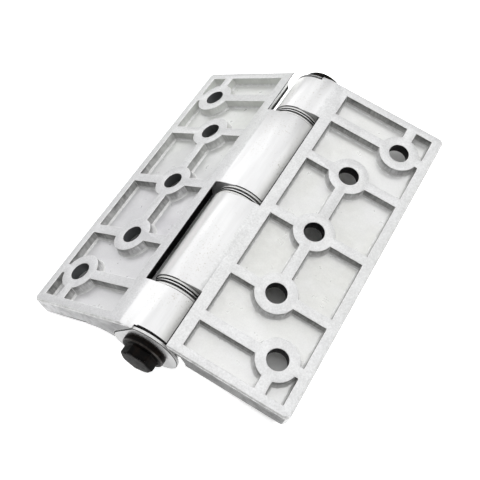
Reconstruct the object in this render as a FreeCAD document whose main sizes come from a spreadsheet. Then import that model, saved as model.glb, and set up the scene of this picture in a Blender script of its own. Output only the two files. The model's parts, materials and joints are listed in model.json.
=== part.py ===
import FreeCAD, Part
import math
import os
import Sketcher

# Cold room door hinge: two identical ribbed castings that swing on one through bolt.
# Frame: the pin lies along Y with the bolt head at -Y, Z is up, and the folded hinge
# stands like a roof on the rounded outer edges of its leaves, its ribbed faces outwards.

# Driving dimensions in millimetres and degrees: alias, value, what it measures.
DIMENSIONS = [
    ("leaf_length", 150.0, "length of a leaf along the pin"),
    ("leaf_reach", 61.7, "pin axis to the outer edge of a leaf"),
    ("leaf_thickness", 9.0, "thickness of a leaf over its ribs"),
    ("face_height", 14.05, "pin axis to the ribbed mounting face"),
    ("edge_round", 3.0, "rounding of the outer edge on the smooth side"),
    ("corner_round", 2.5, "rounding of the leaf's corners in plan"),
    ("rim_bevel", 0.6, "broken edge round the mounting face"),
    ("back_round", 1.0, "rounded end edges of the smooth side"),
    ("floor_bevel", 0.6, "sloped foot of the walls on the pocket floors"),
    ("barrel_diameter", 25.5, "outside of a knuckle"),
    ("knuckle_bore", 14.0, "bore of a knuckle, which takes the bushes"),
    ("notch_radius", 16.0, "hollow inner edge of a leaf, round the other leaf's knuckles"),
    ("crease_offset", 5.8, "pin axis to the crease where a knuckle leaves the mounting face"),
    ("web_radius", 25.0, "sweep from the smooth face into the knuckle"),
    ("barrel_end", 73.6, "middle of the hinge to the outer end of the barrel"),
    ("barrel_bevel", 0.4, "broken edge at the outer end of the barrel"),
    ("end_knuckle_start", 52.65, "middle of the hinge to the inner end of an end knuckle"),
    ("mid_knuckle_end", 48.45, "middle of the hinge to the outer end of a middle knuckle"),
    ("mid_knuckle_start", 2.1, "middle of the hinge to the inner end of a middle knuckle"),
    ("pocket_depth", 4.2, "depth of the pockets between the ribs"),
    ("pocket_draft", 4.0, "draft of the pocket walls"),
    ("pocket_inner", 13.3, "pin axis to the pockets' inner wall"),
    ("pocket_outer", 57.1, "pin axis to the pockets' outer wall"),
    ("pocket_half_length", 70.8, "middle of the leaf to the pockets' end wall"),
    ("rib_width", 4.6, "width of a rib at its top"),
    ("boss_diameter", 18.0, "boss round a screw hole, at its top"),
    ("inner_row", 33.1, "pin axis to the three inner screw holes"),
    ("outer_row", 46.8, "pin axis to the two corner screw holes"),
    ("inner_pitch", 32.8, "spacing of the inner screw holes"),
    ("outer_half_pitch", 56.5, "middle of the leaf to a corner screw hole"),
    ("hole_diameter", 9.0, "screw hole, for M8"),
    ("sink_diameter", 17.0, "countersink on the smooth side"),
    ("sink_angle", 90.0, "countersink's included angle"),
    ("head_room", 3.0, "height of the clear space over each countersink"),
    ("half_fold", 19.0, "tilt of each leaf from flat, at rest"),
    ("shank_diameter", 8.0, "plain shank of the pin bolt"),
    ("thread_diameter", 7.85, "threaded end of the pin bolt"),
    ("thread_start", 52.0, "middle of the hinge to the start of the thread"),
    ("bolt_tip", 82.75, "middle of the hinge to the bolt's tip"),
    ("tip_chamfer", 1.0, "chamfer on the bolt's tip"),
    ("head_end", 82.75, "middle of the hinge to the top of the bolt head"),
    ("head_flats", 13.0, "bolt head across flats"),
    ("flange_diameter", 18.6, "flange under the bolt head"),
    ("flange_rim", 2.9, "thickness of the flange at its rim"),
    ("flange_rise", 0.35, "rise of the flange's cone up to the hexagon"),
    ("head_play", 0.1, "play between the bolt head and its lock plate"),
    ("nut_diameter", 20.8, "outside of the round nut"),
    ("nut_thickness", 4.7, "thickness of the nut"),
    ("nut_bore", 7.95, "bore of the nut"),
    ("nut_bevel", 0.5, "chamfer on the nut's outer edges"),
    ("spanner_hole", 3.0, "holes for a pin spanner in the nut's outer face"),
    ("spanner_row", 7.2, "pin axis to a spanner hole"),
    ("spanner_depth", 2.5, "depth of a spanner hole"),
    ("nut_washer_thickness", 1.1, "thickness of the washer under the nut"),
    ("plate_thickness", 1.5, "thickness of the lock plate"),
    ("plate_diameter", 26.6, "round part of the lock plate"),
    ("plate_aside", 0.7, "pin axis to the round part's centre, away from the leaf"),
    ("plate_drop", 0.6, "pin axis to the round part's centre, towards the smooth side"),
    ("plate_hole", 8.6, "hole of the lock plate and of the washer under the nut"),
    ("lobe_radius", 8.0, "round lobe of the lock plate"),
    ("lobe_offset_x", 10.0, "pin axis to the lobe's centre, along the leaf"),
    ("lobe_offset_z", 1.2, "pin axis to the lobe's centre, towards the smooth side"),
    ("shoulder_angle", 92.0, "where the lock plate's shoulder meets its round part"),
    ("flank_angle", 66.0, "slope of the lock plate's upper flank, square to it"),
    ("plate_room", 0.3, "room round the lock plate in its recess"),
    ("relief_radius", 18.7, "clearance in a leaf's plain end for the other leaf's lock plate"),
    ("relief_height", 11.6, "pin axis to the top of that clearance"),
    ("ring_diameter", 24.6, "outside of the bush flanges and thrust washers"),
    ("ring_chamfer", 0.2, "chamfer on the rings' outer edges"),
    ("bush_flange", 1.4, "thickness of a bush flange"),
    ("bush_bore", 8.1, "bore of a bush, a running fit on the shank"),
    ("bush_length", 16.0, "length of a bush inside its knuckle"),
    ("washer_thickness", 1.2, "thickness of a thrust washer"),
    ("washer_bore", 8.6, "bore of a thrust washer"),
]

doc = FreeCAD.newDocument("cold_room_hinge")
sheet = doc.addObject("Spreadsheet::Sheet", "Dims")
for row, (alias, value, meaning) in enumerate(DIMENSIONS, start=1):
    sheet.set("A%d" % row, meaning)
    sheet.set("B%d" % row, str(value))
    sheet.setAlias("B%d" % row, alias)
doc.recompute()


def value_of(expression):
    """The number that an expression on the sheet stands for."""
    return float(sheet.evalExpression(expression))


# Heights and lengths that follow from the driving dimensions.
BACK_HEIGHT = "(Dims.face_height - Dims.leaf_thickness)"
BARREL_RADIUS = "(Dims.barrel_diameter / 2)"
FLOOR_HEIGHT = "(Dims.face_height - Dims.pocket_depth)"
HALF_LENGTH = "(Dims.leaf_length / 2)"
PLATE_FACE = "(Dims.barrel_end + Dims.plate_thickness)"
NUT_SEAT = "(Dims.barrel_end + Dims.nut_washer_thickness)"
FLANK_REACH = (
    "(Dims.lobe_offset_x * cos(Dims.flank_angle)"
    " - Dims.lobe_offset_z * sin(Dims.flank_angle) + Dims.lobe_radius)"
)
HEAD_SEAT = "(Dims.barrel_end + Dims.plate_thickness + Dims.head_play)"
PIN_HEIGHT = (
    "((Dims.leaf_reach - Dims.edge_round) * sin(Dims.half_fold)"
    " - (Dims.face_height - Dims.leaf_thickness + Dims.edge_round) * cos(Dims.half_fold)"
    " + Dims.edge_round)"
)


def new_body(label):
    body = doc.addObject("PartDesign::Body", label)
    body.Label = label
    return body


def new_sketch(body, role, name, offset=None):
    """A sketch on one of the body's own origin planes, moved along its normal by offset."""
    sketch = body.newObject("Sketcher::SketchObject", name)
    plane = next(part for part in body.Origin.OriginFeatures if part.Role == role)
    sketch.AttachmentSupport = [(plane, "")]
    sketch.MapMode = "FlatFace"
    if offset is not None:
        sketch.setExpression("AttachmentOffset.Base.z", offset)
    return sketch


def bind_constraint(sketch, constraint, expression):
    index = sketch.addConstraint(constraint)
    name = "size_%d" % index
    sketch.renameConstraint(index, name)
    sketch.setExpression("Constraints." + name, expression)


def fix_point(sketch, edge, end, across, up):
    """Tie one end of an edge to the sketch's origin by two sizes."""
    for kind, expression in (("DistanceX", across), ("DistanceY", up)):
        constraint = Sketcher.Constraint(kind, -1, 1, edge, end, value_of(expression))
        bind_constraint(sketch, constraint, expression)


def add_polygon(sketch, points):
    """A closed outline of straight edges through points given as pairs of expressions."""
    corners = [FreeCAD.Vector(value_of(a), value_of(b), 0) for a, b in points]
    count = len(corners)
    edges = []
    for i in range(count):
        segment = Part.LineSegment(corners[i], corners[(i + 1) % count])
        edges.append(sketch.addGeometry(segment, False))
    for i in range(count):
        following = edges[(i + 1) % count]
        sketch.addConstraint(Sketcher.Constraint("Coincident", edges[i], 2, following, 1))
    for edge, (across, up) in zip(edges, points):
        fix_point(sketch, edge, 1, across, up)


def add_rectangle(sketch, left, right, low, high):
    add_polygon(sketch, [(left, low), (right, low), (right, high), (left, high)])


def add_circle(sketch, across, up, diameter):
    centre = FreeCAD.Vector(value_of(across), value_of(up), 0)
    circle = Part.Circle(centre, FreeCAD.Vector(0, 0, 1), value_of(diameter) / 2)
    edge = sketch.addGeometry(circle, False)
    fix_point(sketch, edge, 3, across, up)
    bind_constraint(sketch, Sketcher.Constraint("Diameter", edge, value_of(diameter)), diameter)


def add_hexagon(sketch, flats):
    """A hexagon about the origin with one pair of flats level."""
    corner = flats + " / sqrt(3)"
    points = []
    for step in range(6):
        turn = 60 * step
        points.append(("%s * cos(%d)" % (corner, turn), "%s * sin(%d)" % (corner, turn)))
    add_polygon(sketch, points)


def pad(body, sketch, name, length, symmetric=False, reverse=False, taper=None):
    feature = body.newObject("PartDesign::Pad", name)
    feature.Profile = sketch
    feature.setExpression("Length", length)
    feature.Reversed = reverse
    if symmetric:
        feature.SideType = "Symmetric"
    if taper is not None:
        feature.setExpression("TaperAngle", taper)
    doc.recompute()
    return feature


def pocket(body, sketch, name, length, taper=None):
    feature = body.newObject("PartDesign::Pocket", name)
    feature.Profile = sketch
    feature.setExpression("Length", length)
    if taper is not None:
        feature.setExpression("TaperAngle", taper)
    doc.recompute()
    return feature


def turn(body, sketch, name, kind="Revolution"):
    """A full turn of the sketch about its own vertical axis."""
    feature = body.newObject("PartDesign::" + kind, name)
    feature.Profile = sketch
    feature.ReferenceAxis = (sketch, ["V_Axis"])
    feature.Angle = 360
    doc.recompute()
    return feature


def dress(body, kind, name, size, wanted):
    """A fillet or chamfer on the edges of the body's tip that wanted() picks."""
    base = body.Tip
    edges = ["Edge%d" % i for i, edge in enumerate(base.Shape.Edges, start=1) if wanted(edge)]
    feature = body.newObject("PartDesign::" + kind, name)
    feature.Base = (base, edges)
    feature.setExpression("Radius" if kind == "Fillet" else "Size", size)
    doc.recompute()
    return feature


def middle_of(edge):
    return edge.valueAt((edge.FirstParameter + edge.LastParameter) / 2)


def near(a, b):
    return abs(a - b) < 0.01


def add_knuckle_section(sketch):
    """Barrel, flat strip up to the mounting face, and the sweep into the smooth face."""
    face = value_of("Dims.face_height")
    back = value_of(BACK_HEIGHT)
    barrel = value_of(BARREL_RADIUS)
    sweep = value_of("Dims.web_radius")
    crease = FreeCAD.Vector(value_of("Dims.crease_offset"), face, 0)
    sweep_x = math.sqrt((barrel + sweep) ** 2 - (back - sweep) ** 2)
    sweep_centre = FreeCAD.Vector(sweep_x, back - sweep, 0)
    strip_turn = math.atan2(crease.y, crease.x) + math.acos(barrel / crease.Length)
    strip_start = FreeCAD.Vector(barrel * math.cos(strip_turn), barrel * math.sin(strip_turn), 0)
    blend_turn = math.atan2(sweep_centre.y, sweep_centre.x)
    axis = FreeCAD.Vector(0, 0, 1)
    inside_top = FreeCAD.Vector(sweep_x, face, 0)
    inside_low = FreeCAD.Vector(sweep_x, back, 0)
    barrel_circle = Part.Circle(FreeCAD.Vector(), axis, barrel)
    sweep_circle = Part.Circle(sweep_centre, axis, sweep)
    top = sketch.addGeometry(Part.LineSegment(crease, inside_top), False)
    side = sketch.addGeometry(Part.LineSegment(inside_top, inside_low), False)
    blend = sketch.addGeometry(
        Part.ArcOfCircle(sweep_circle, math.pi / 2, blend_turn + math.pi), False)
    round_part = sketch.addGeometry(
        Part.ArcOfCircle(barrel_circle, strip_turn, blend_turn + 2 * math.pi), False)
    strip = sketch.addGeometry(Part.LineSegment(strip_start, crease), False)
    for constraint in (
        Sketcher.Constraint("Coincident", top, 2, side, 1),
        Sketcher.Constraint("Coincident", side, 2, blend, 1),
        Sketcher.Constraint("Coincident", strip, 2, top, 1),
        Sketcher.Constraint("Coincident", round_part, 3, -1, 1),
        Sketcher.Constraint("Horizontal", top),
        Sketcher.Constraint("Vertical", side),
        Sketcher.Constraint("Tangent", blend, 2, round_part, 2),
        Sketcher.Constraint("Tangent", round_part, 1, strip, 1),
        Sketcher.Constraint("Vertical", blend, 3, blend, 1),
    ):
        sketch.addConstraint(constraint)
    fix_point(sketch, top, 1, "Dims.crease_offset", "Dims.face_height")
    bind_constraint(sketch, Sketcher.Constraint("DistanceY", -1, 1, side, 2, back), BACK_HEIGHT)
    bind_constraint(sketch, Sketcher.Constraint("Radius", round_part, barrel), BARREL_RADIUS)
    bind_constraint(sketch, Sketcher.Constraint("Radius", blend, sweep), "Dims.web_radius")
    add_circle(sketch, "0", "0", "Dims.knuckle_bore")


def add_plate_section(sketch):
    """Flat plate with a rounded outer edge and a hollow inner edge."""
    face = value_of("Dims.face_height")
    back = value_of(BACK_HEIGHT)
    reach = value_of("Dims.leaf_reach")
    edge = value_of("Dims.edge_round")
    notch = value_of("Dims.notch_radius")
    axis = FreeCAD.Vector(0, 0, 1)
    lip_top = FreeCAD.Vector(math.sqrt(notch ** 2 - face ** 2), face, 0)
    lip_low = FreeCAD.Vector(math.sqrt(notch ** 2 - back ** 2), back, 0)
    outer_top = FreeCAD.Vector(reach, face, 0)
    outer_low = FreeCAD.Vector(reach, back + edge, 0)
    back_end = FreeCAD.Vector(reach - edge, back, 0)
    edge_circle = Part.Circle(FreeCAD.Vector(reach - edge, back + edge, 0), axis, edge)
    notch_circle = Part.Circle(FreeCAD.Vector(), axis, notch)
    low_turn = math.atan2(lip_low.y, lip_low.x)
    top_turn = math.atan2(lip_top.y, lip_top.x)
    top = sketch.addGeometry(Part.LineSegment(lip_top, outer_top), False)
    side = sketch.addGeometry(Part.LineSegment(outer_top, outer_low), False)
    rounding = sketch.addGeometry(Part.ArcOfCircle(edge_circle, -math.pi / 2, 0), False)
    bottom = sketch.addGeometry(Part.LineSegment(back_end, lip_low), False)
    hollow = sketch.addGeometry(Part.ArcOfCircle(notch_circle, low_turn, top_turn), False)
    for constraint in (
        Sketcher.Constraint("Coincident", top, 2, side, 1),
        Sketcher.Constraint("Tangent", side, 2, rounding, 2),
        Sketcher.Constraint("Tangent", rounding, 1, bottom, 1),
        Sketcher.Constraint("Coincident", bottom, 2, hollow, 1),
        Sketcher.Constraint("Coincident", hollow, 2, top, 1),
        Sketcher.Constraint("Coincident", hollow, 3, -1, 1),
        Sketcher.Constraint("Horizontal", top),
        Sketcher.Constraint("Vertical", side),
        Sketcher.Constraint("Horizontal", bottom),
    ):
        sketch.addConstraint(constraint)
    fix_point(sketch, top, 2, "Dims.leaf_reach", "Dims.face_height")
    bind_constraint(sketch, Sketcher.Constraint("DistanceY", -1, 1, bottom, 2, back), BACK_HEIGHT)
    bind_constraint(sketch, Sketcher.Constraint("Radius", rounding, edge), "Dims.edge_round")
    bind_constraint(sketch, Sketcher.Constraint("Radius", hollow, notch), "Dims.notch_radius")


def add_lock_plate_outline(sketch, room):
    """Round plate with a lobe lying along the leaf, grown all round by the room given."""
    main = value_of("Dims.plate_diameter / 2 + " + room)
    lobe = value_of("Dims.lobe_radius + " + room)
    main_centre = FreeCAD.Vector(
        -value_of("Dims.plate_aside"), -value_of("Dims.plate_drop"), 0)
    lobe_centre = FreeCAD.Vector(
        value_of("Dims.lobe_offset_x"), -value_of("Dims.lobe_offset_z"), 0)
    way = lobe_centre - main_centre
    lean = math.atan2(way.y, way.x)
    half_turn = math.acos((main - lobe) / way.Length)
    shoulder = value_of("Dims.shoulder_angle * pi / 180")
    flank = value_of("Dims.flank_angle * pi / 180")
    axis = FreeCAD.Vector(0, 0, 1)

    def on_circle(centre, radius, angle):
        return centre + FreeCAD.Vector(math.cos(angle), math.sin(angle), 0) * radius

    low_turn = lean - half_turn
    main_low = on_circle(main_centre, main, low_turn)
    lobe_low = on_circle(lobe_centre, lobe, low_turn)
    lobe_top = on_circle(lobe_centre, lobe, flank)
    main_top = on_circle(main_centre, main, shoulder)
    flank_way = FreeCAD.Vector(-math.sin(flank), math.cos(flank), 0)
    flank_length = (main_top.x - lobe_top.x) / flank_way.x
    step_foot = lobe_top + flank_way * flank_length
    round_part = sketch.addGeometry(
        Part.ArcOfCircle(Part.Circle(main_centre, axis, main), shoulder,
                         low_turn + 2 * math.pi), False)
    lower = sketch.addGeometry(Part.LineSegment(main_low, lobe_low), False)
    lobe_part = sketch.addGeometry(
        Part.ArcOfCircle(Part.Circle(lobe_centre, axis, lobe), low_turn, flank), False)
    upper = sketch.addGeometry(Part.LineSegment(lobe_top, step_foot), False)
    step = sketch.addGeometry(Part.LineSegment(step_foot, main_top), False)
    for constraint in (
        Sketcher.Constraint("Tangent", round_part, 2, lower, 1),
        Sketcher.Constraint("Tangent", lower, 2, lobe_part, 1),
        Sketcher.Constraint("Tangent", lobe_part, 2, upper, 1),
        Sketcher.Constraint("Coincident", upper, 2, step, 1),
        Sketcher.Constraint("Coincident", step, 2, round_part, 1),
        Sketcher.Constraint("Vertical", step),
    ):
        sketch.addConstraint(constraint)
    fix_point(sketch, round_part, 3, "-Dims.plate_aside", "-Dims.plate_drop")
    fix_point(sketch, lobe_part, 3, "Dims.lobe_offset_x", "-Dims.lobe_offset_z")
    bind_constraint(sketch, Sketcher.Constraint("Radius", round_part, main),
                    "Dims.plate_diameter / 2 + " + room)
    bind_constraint(sketch, Sketcher.Constraint("Radius", lobe_part, lobe),
                    "Dims.lobe_radius + " + room)
    shoulder_reach = "(Dims.plate_diameter / 2 + %s) * cos(Dims.shoulder_angle)" % room
    bind_constraint(sketch, Sketcher.Constraint("DistanceX", -1, 1, step, 2, main_top.x),
                    "-Dims.plate_aside + " + shoulder_reach)
    bind_constraint(sketch, Sketcher.Constraint("DistanceX", -1, 1, lobe_part, 2, lobe_top.x),
                    "Dims.lobe_offset_x + (Dims.lobe_radius + %s) * cos(Dims.flank_angle)" % room)


def add_rounding_waste(sketch, corner, ways, radius):
    """What is cut away to round a square corner; ways says which way is out, across and up."""
    across, up = corner
    out_across, out_up = ways
    size = value_of(radius)
    spot = FreeCAD.Vector(value_of(across), value_of(up), 0)
    step_across = FreeCAD.Vector(out_across, 0, 0)
    step_up = FreeCAD.Vector(0, out_up, 0)
    centre = spot - step_across * size - step_up * size
    beside = centre + step_across * size
    above = centre + step_up * size
    outside = [beside + step_across, spot + step_across + step_up, above + step_up]
    beside_turn = 0 if out_across > 0 else math.pi
    above_turn = beside_turn + math.pi / 2 * out_across * out_up
    turns = sorted((beside_turn, above_turn))
    circle = Part.Circle(centre, FreeCAD.Vector(0, 0, 1), size)
    arc = sketch.addGeometry(Part.ArcOfCircle(circle, *turns), False)
    beside_end = 1 if beside_turn < above_turn else 2
    above_end = 3 - beside_end
    corners = [beside] + outside + [above]
    lines = []
    for start, end in zip(corners[:-1], corners[1:]):
        lines.append(sketch.addGeometry(Part.LineSegment(start, end), False))
    for first, second in zip(lines[:-1], lines[1:]):
        sketch.addConstraint(Sketcher.Constraint("Coincident", first, 2, second, 1))
    sketch.addConstraint(Sketcher.Constraint("Coincident", arc, beside_end, lines[0], 1))
    sketch.addConstraint(Sketcher.Constraint("Coincident", arc, above_end, lines[-1], 2))
    for line, direction in zip(lines, ("Horizontal", "Vertical", "Horizontal", "Vertical")):
        sketch.addConstraint(Sketcher.Constraint(direction, line))
    sketch.addConstraint(Sketcher.Constraint("Horizontal", arc, 3, arc, beside_end))
    sketch.addConstraint(Sketcher.Constraint("Vertical", arc, 3, arc, above_end))
    fix_point(sketch, arc, 3, "%s - %d * %s" % (across, out_across, radius),
              "%s - %d * %s" % (up, out_up, radius))
    bind_constraint(sketch, Sketcher.Constraint("Radius", arc, size), radius)
    fix_point(sketch, lines[1], 2, "%s + %d" % (across, out_across), "%s + %d" % (up, out_up))


def add_relief_outline(sketch):
    """Quarter disc about the pin, cut off level at its top."""
    radius = value_of("Dims.relief_radius")
    height = value_of("Dims.relief_height")
    corner = FreeCAD.Vector(math.sqrt(radius ** 2 - height ** 2), height, 0)
    top_point = FreeCAD.Vector(0, height, 0)
    circle = Part.Circle(FreeCAD.Vector(), FreeCAD.Vector(0, 0, 1), radius)
    bottom = sketch.addGeometry(
        Part.LineSegment(FreeCAD.Vector(), FreeCAD.Vector(radius, 0, 0)), False)
    sweep = sketch.addGeometry(
        Part.ArcOfCircle(circle, 0, math.atan2(corner.y, corner.x)), False)
    top = sketch.addGeometry(Part.LineSegment(corner, top_point), False)
    side = sketch.addGeometry(Part.LineSegment(top_point, FreeCAD.Vector()), False)
    for constraint in (
        Sketcher.Constraint("Coincident", bottom, 1, -1, 1),
        Sketcher.Constraint("Coincident", sweep, 3, -1, 1),
        Sketcher.Constraint("Coincident", bottom, 2, sweep, 1),
        Sketcher.Constraint("Coincident", sweep, 2, top, 1),
        Sketcher.Constraint("Coincident", top, 2, side, 1),
        Sketcher.Constraint("Coincident", side, 2, -1, 1),
        Sketcher.Constraint("Horizontal", bottom),
        Sketcher.Constraint("Horizontal", top),
    ):
        sketch.addConstraint(constraint)
    bind_constraint(sketch, Sketcher.Constraint("Radius", sweep, radius), "Dims.relief_radius")
    bind_constraint(sketch, Sketcher.Constraint("DistanceY", -1, 1, top, 2, height),
                    "Dims.relief_height")


def place_with_leaf(body, side):
    """Lift a body to the pin and tilt it with the right (+1) or the left (-1) leaf."""
    upright = FreeCAD.Rotation(FreeCAD.Vector(0, 1, 0), side * value_of("Dims.half_fold"))
    if side < 0:
        upright = upright * FreeCAD.Rotation(FreeCAD.Vector(0, 0, 1), 180)
    body.Placement = FreeCAD.Placement(FreeCAD.Vector(0, 0, value_of(PIN_HEIGHT)), upright)


# Screw holes as pairs of expressions: along the leaf, then along the pin.
SCREW_HOLES = [
    ("Dims.outer_row", "Dims.outer_half_pitch"),
    ("Dims.inner_row", "Dims.inner_pitch"),
    ("Dims.inner_row", "0"),
    ("Dims.inner_row", "-Dims.inner_pitch"),
    ("Dims.outer_row", "-Dims.outer_half_pitch"),
]
# The pockets' ribs run this far into the rims, so that they join them.
RIB_ROOT = "0.2"
HALF_RIB = "Dims.rib_width / 2"


def make_leaf(label, side):
    """One casting: plate, knuckles, pockets with their ribs and bosses, and screw holes."""
    body = new_body(label)
    plate_section = new_sketch(body, "XZ_Plane", label + "_plate_section")
    add_plate_section(plate_section)
    pad(body, plate_section, label + "_plate", "Dims.leaf_length", symmetric=True)

    reach = value_of("Dims.leaf_reach")
    half = value_of(HALF_LENGTH)
    face = value_of("Dims.face_height")

    corners = new_sketch(body, "XY_Plane", label + "_corner_waste", "Dims.face_height")
    for way, end in ((1, HALF_LENGTH), (-1, "-" + HALF_LENGTH)):
        add_rounding_waste(corners, ("Dims.leaf_reach", end), (1, way), "Dims.corner_round")
    pocket(body, corners, label + "_corners", "Dims.leaf_thickness")
    ends = new_sketch(body, "YZ_Plane", label + "_end_waste", "Dims.leaf_reach")
    for way, end in ((1, HALF_LENGTH), (-1, "-" + HALF_LENGTH)):
        add_rounding_waste(ends, (end, BACK_HEIGHT), (way, -1), "Dims.back_round")
    pocket(body, ends, label + "_back_ends", "Dims.leaf_reach")

    for number, start, end in (
        (1, HALF_LENGTH, "Dims.end_knuckle_start"),
        (3, "-Dims.mid_knuckle_start", "-Dims.mid_knuckle_end"),
    ):
        name = "%s_knuckle_%d" % (label, number)
        section = new_sketch(body, "XZ_Plane", name + "_section", "-(%s)" % start)
        add_knuckle_section(section)
        pad(body, section, name, "%s - (%s)" % (start, end))

    def is_rim(edge):
        middle = middle_of(edge)
        outer = middle.x > reach - 5 or near(abs(middle.y), half)
        box = edge.BoundBox
        return outer and near(box.ZMin, face) and near(box.ZMax, face)

    dress(body, "Chamfer", label + "_rim_edge", "Dims.rim_bevel", is_rim)

    well = new_sketch(body, "XY_Plane", label + "_well_outline", "Dims.face_height")
    add_rectangle(well, "Dims.pocket_inner", "Dims.pocket_outer",
                  "-Dims.pocket_half_length", "Dims.pocket_half_length")
    pocket(body, well, label + "_well", "Dims.pocket_depth", "-Dims.pocket_draft")

    bosses = new_sketch(body, "XY_Plane", label + "_boss_outlines", "Dims.face_height")
    for across, along in SCREW_HOLES:
        add_circle(bosses, across, along, "Dims.boss_diameter")
    arms = new_sketch(body, "XY_Plane", label + "_arm_outlines", "Dims.face_height")
    for across, along in SCREW_HOLES:
        add_rectangle(arms, "Dims.pocket_inner - " + RIB_ROOT, "Dims.pocket_outer + " + RIB_ROOT,
                      "%s - %s" % (along, HALF_RIB), "%s + %s" % (along, HALF_RIB))
    ribs = new_sketch(body, "XY_Plane", label + "_rib_outlines", "Dims.face_height")
    for row, start, end in (
        ("Dims.inner_row", "-Dims.inner_pitch", "Dims.inner_pitch"),
        ("Dims.outer_row", "Dims.outer_half_pitch", "Dims.pocket_half_length + " + RIB_ROOT),
        ("Dims.outer_row", "-Dims.pocket_half_length - " + RIB_ROOT, "-Dims.outer_half_pitch"),
    ):
        add_rectangle(ribs, "%s - %s" % (row, HALF_RIB), "%s + %s" % (row, HALF_RIB), start, end)
    for outlines, name in ((bosses, "_bosses"), (arms, "_arms"), (ribs, "_ribs")):
        pad(body, outlines, label + name, "Dims.pocket_depth", reverse=True, taper="Dims.pocket_draft")

    floor = value_of(FLOOR_HEIGHT)

    def is_floor(edge):
        return near(edge.BoundBox.ZMin, floor) and near(edge.BoundBox.ZMax, floor)

    dress(body, "Chamfer", label + "_floor_bevels", "Dims.floor_bevel", is_floor)

    heads = new_sketch(body, "XY_Plane", label + "_head_outlines", BACK_HEIGHT)
    for across, along in SCREW_HOLES:
        add_circle(heads, across, along, "Dims.sink_diameter")
    pocket(body, heads, label + "_head_room", "Dims.head_room")

    centres = new_sketch(body, "XY_Plane", label + "_hole_centres", BACK_HEIGHT)
    for across, along in SCREW_HOLES:
        add_circle(centres, across, along, "Dims.hole_diameter")
    doc.recompute()
    holes = body.newObject("PartDesign::Hole", label + "_screw_holes")
    holes.Profile = centres
    holes.Reversed = True
    holes.ThreadType = "None"
    holes.DepthType = "ThroughAll"
    holes.HoleCutType = "Countersink"
    holes.HoleCutCustomValues = True
    holes.setExpression("Diameter", "Dims.hole_diameter")
    holes.setExpression("HoleCutDiameter", "Dims.sink_diameter")
    holes.setExpression("HoleCutCountersinkAngle", "Dims.sink_angle")
    doc.recompute()

    recess = new_sketch(body, "XZ_Plane", label + "_recess_outline", "-" + HALF_LENGTH)
    add_lock_plate_outline(recess, "Dims.plate_room")
    cut = pocket(body, recess, label + "_end_recess", HALF_LENGTH + " - Dims.barrel_end")
    cut.Reversed = True
    doc.recompute()
    relief = new_sketch(body, "XZ_Plane", label + "_relief_outline", HALF_LENGTH)
    add_relief_outline(relief)
    pocket(body, relief, label + "_plain_end_relief", HALF_LENGTH + " - Dims.barrel_end")

    barrel = value_of(BARREL_RADIUS)
    barrel_end = value_of("Dims.barrel_end")

    def is_barrel_end(edge):
        box = edge.BoundBox
        level = near(box.YMin, barrel_end) and near(box.YMax, barrel_end)
        return level and isinstance(edge.Curve, Part.Circle) and near(edge.Curve.Radius, barrel)

    dress(body, "Chamfer", label + "_barrel_edge", "Dims.barrel_bevel", is_barrel_end)
    place_with_leaf(body, side)
    return body


def make_lock_plate(label, side):
    body = new_body(label)
    outline = new_sketch(body, "XZ_Plane", label + "_outline", "-" + PLATE_FACE)
    add_lock_plate_outline(outline, "0")
    add_circle(outline, "0", "0", "Dims.plate_hole")
    pad(body, outline, label + "_blank", "Dims.plate_thickness")
    place_with_leaf(body, side)
    return body


def make_bush(label, knuckle_end, way):
    """A flanged sleeve; its flange bears on the knuckle's end and points along way."""
    body = new_body(label)
    section = new_sketch(body, "XY_Plane", label + "_section")
    flange = "%s + %d * Dims.bush_flange" % (knuckle_end, way)
    bevel = "%s + %d * (Dims.bush_flange - Dims.ring_chamfer)" % (knuckle_end, way)
    tail = "%s - %d * Dims.bush_length" % (knuckle_end, way)
    add_polygon(section, [
        ("Dims.bush_bore / 2", tail),
        ("Dims.knuckle_bore / 2", tail),
        ("Dims.knuckle_bore / 2", knuckle_end),
        ("Dims.ring_diameter / 2", knuckle_end),
        ("Dims.ring_diameter / 2", bevel),
        ("Dims.ring_diameter / 2 - Dims.ring_chamfer", flange),
        ("Dims.bush_bore / 2", flange),
    ])
    turn(body, section, label + "_turned")
    place_with_leaf(body, 1)
    return body


def turn_ring(body, seat, way, sizes):
    """A plain ring that lies on its seat and rises along way, with broken outer edges."""
    outside, bore, thickness, bevel = sizes
    section = new_sketch(body, "XY_Plane", body.Label + "_section")
    edge = outside + " / 2"
    inset = "%s / 2 - %s" % (outside, bevel)
    far = "%s + %d * %s" % (seat, way, thickness)
    add_polygon(section, [
        (bore + " / 2", seat),
        (inset, seat),
        (edge, "%s + %d * %s" % (seat, way, bevel)),
        (edge, "%s - %d * %s" % (far, way, bevel)),
        (inset, far),
        (bore + " / 2", far),
    ])
    turn(body, section, body.Label + "_turned")


def make_thrust_washer(label, seat, way):
    body = new_body(label)
    sizes = ("Dims.ring_diameter", "Dims.washer_bore", "Dims.washer_thickness", "Dims.ring_chamfer")
    turn_ring(body, seat, way, sizes)
    place_with_leaf(body, 1)
    return body


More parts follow.
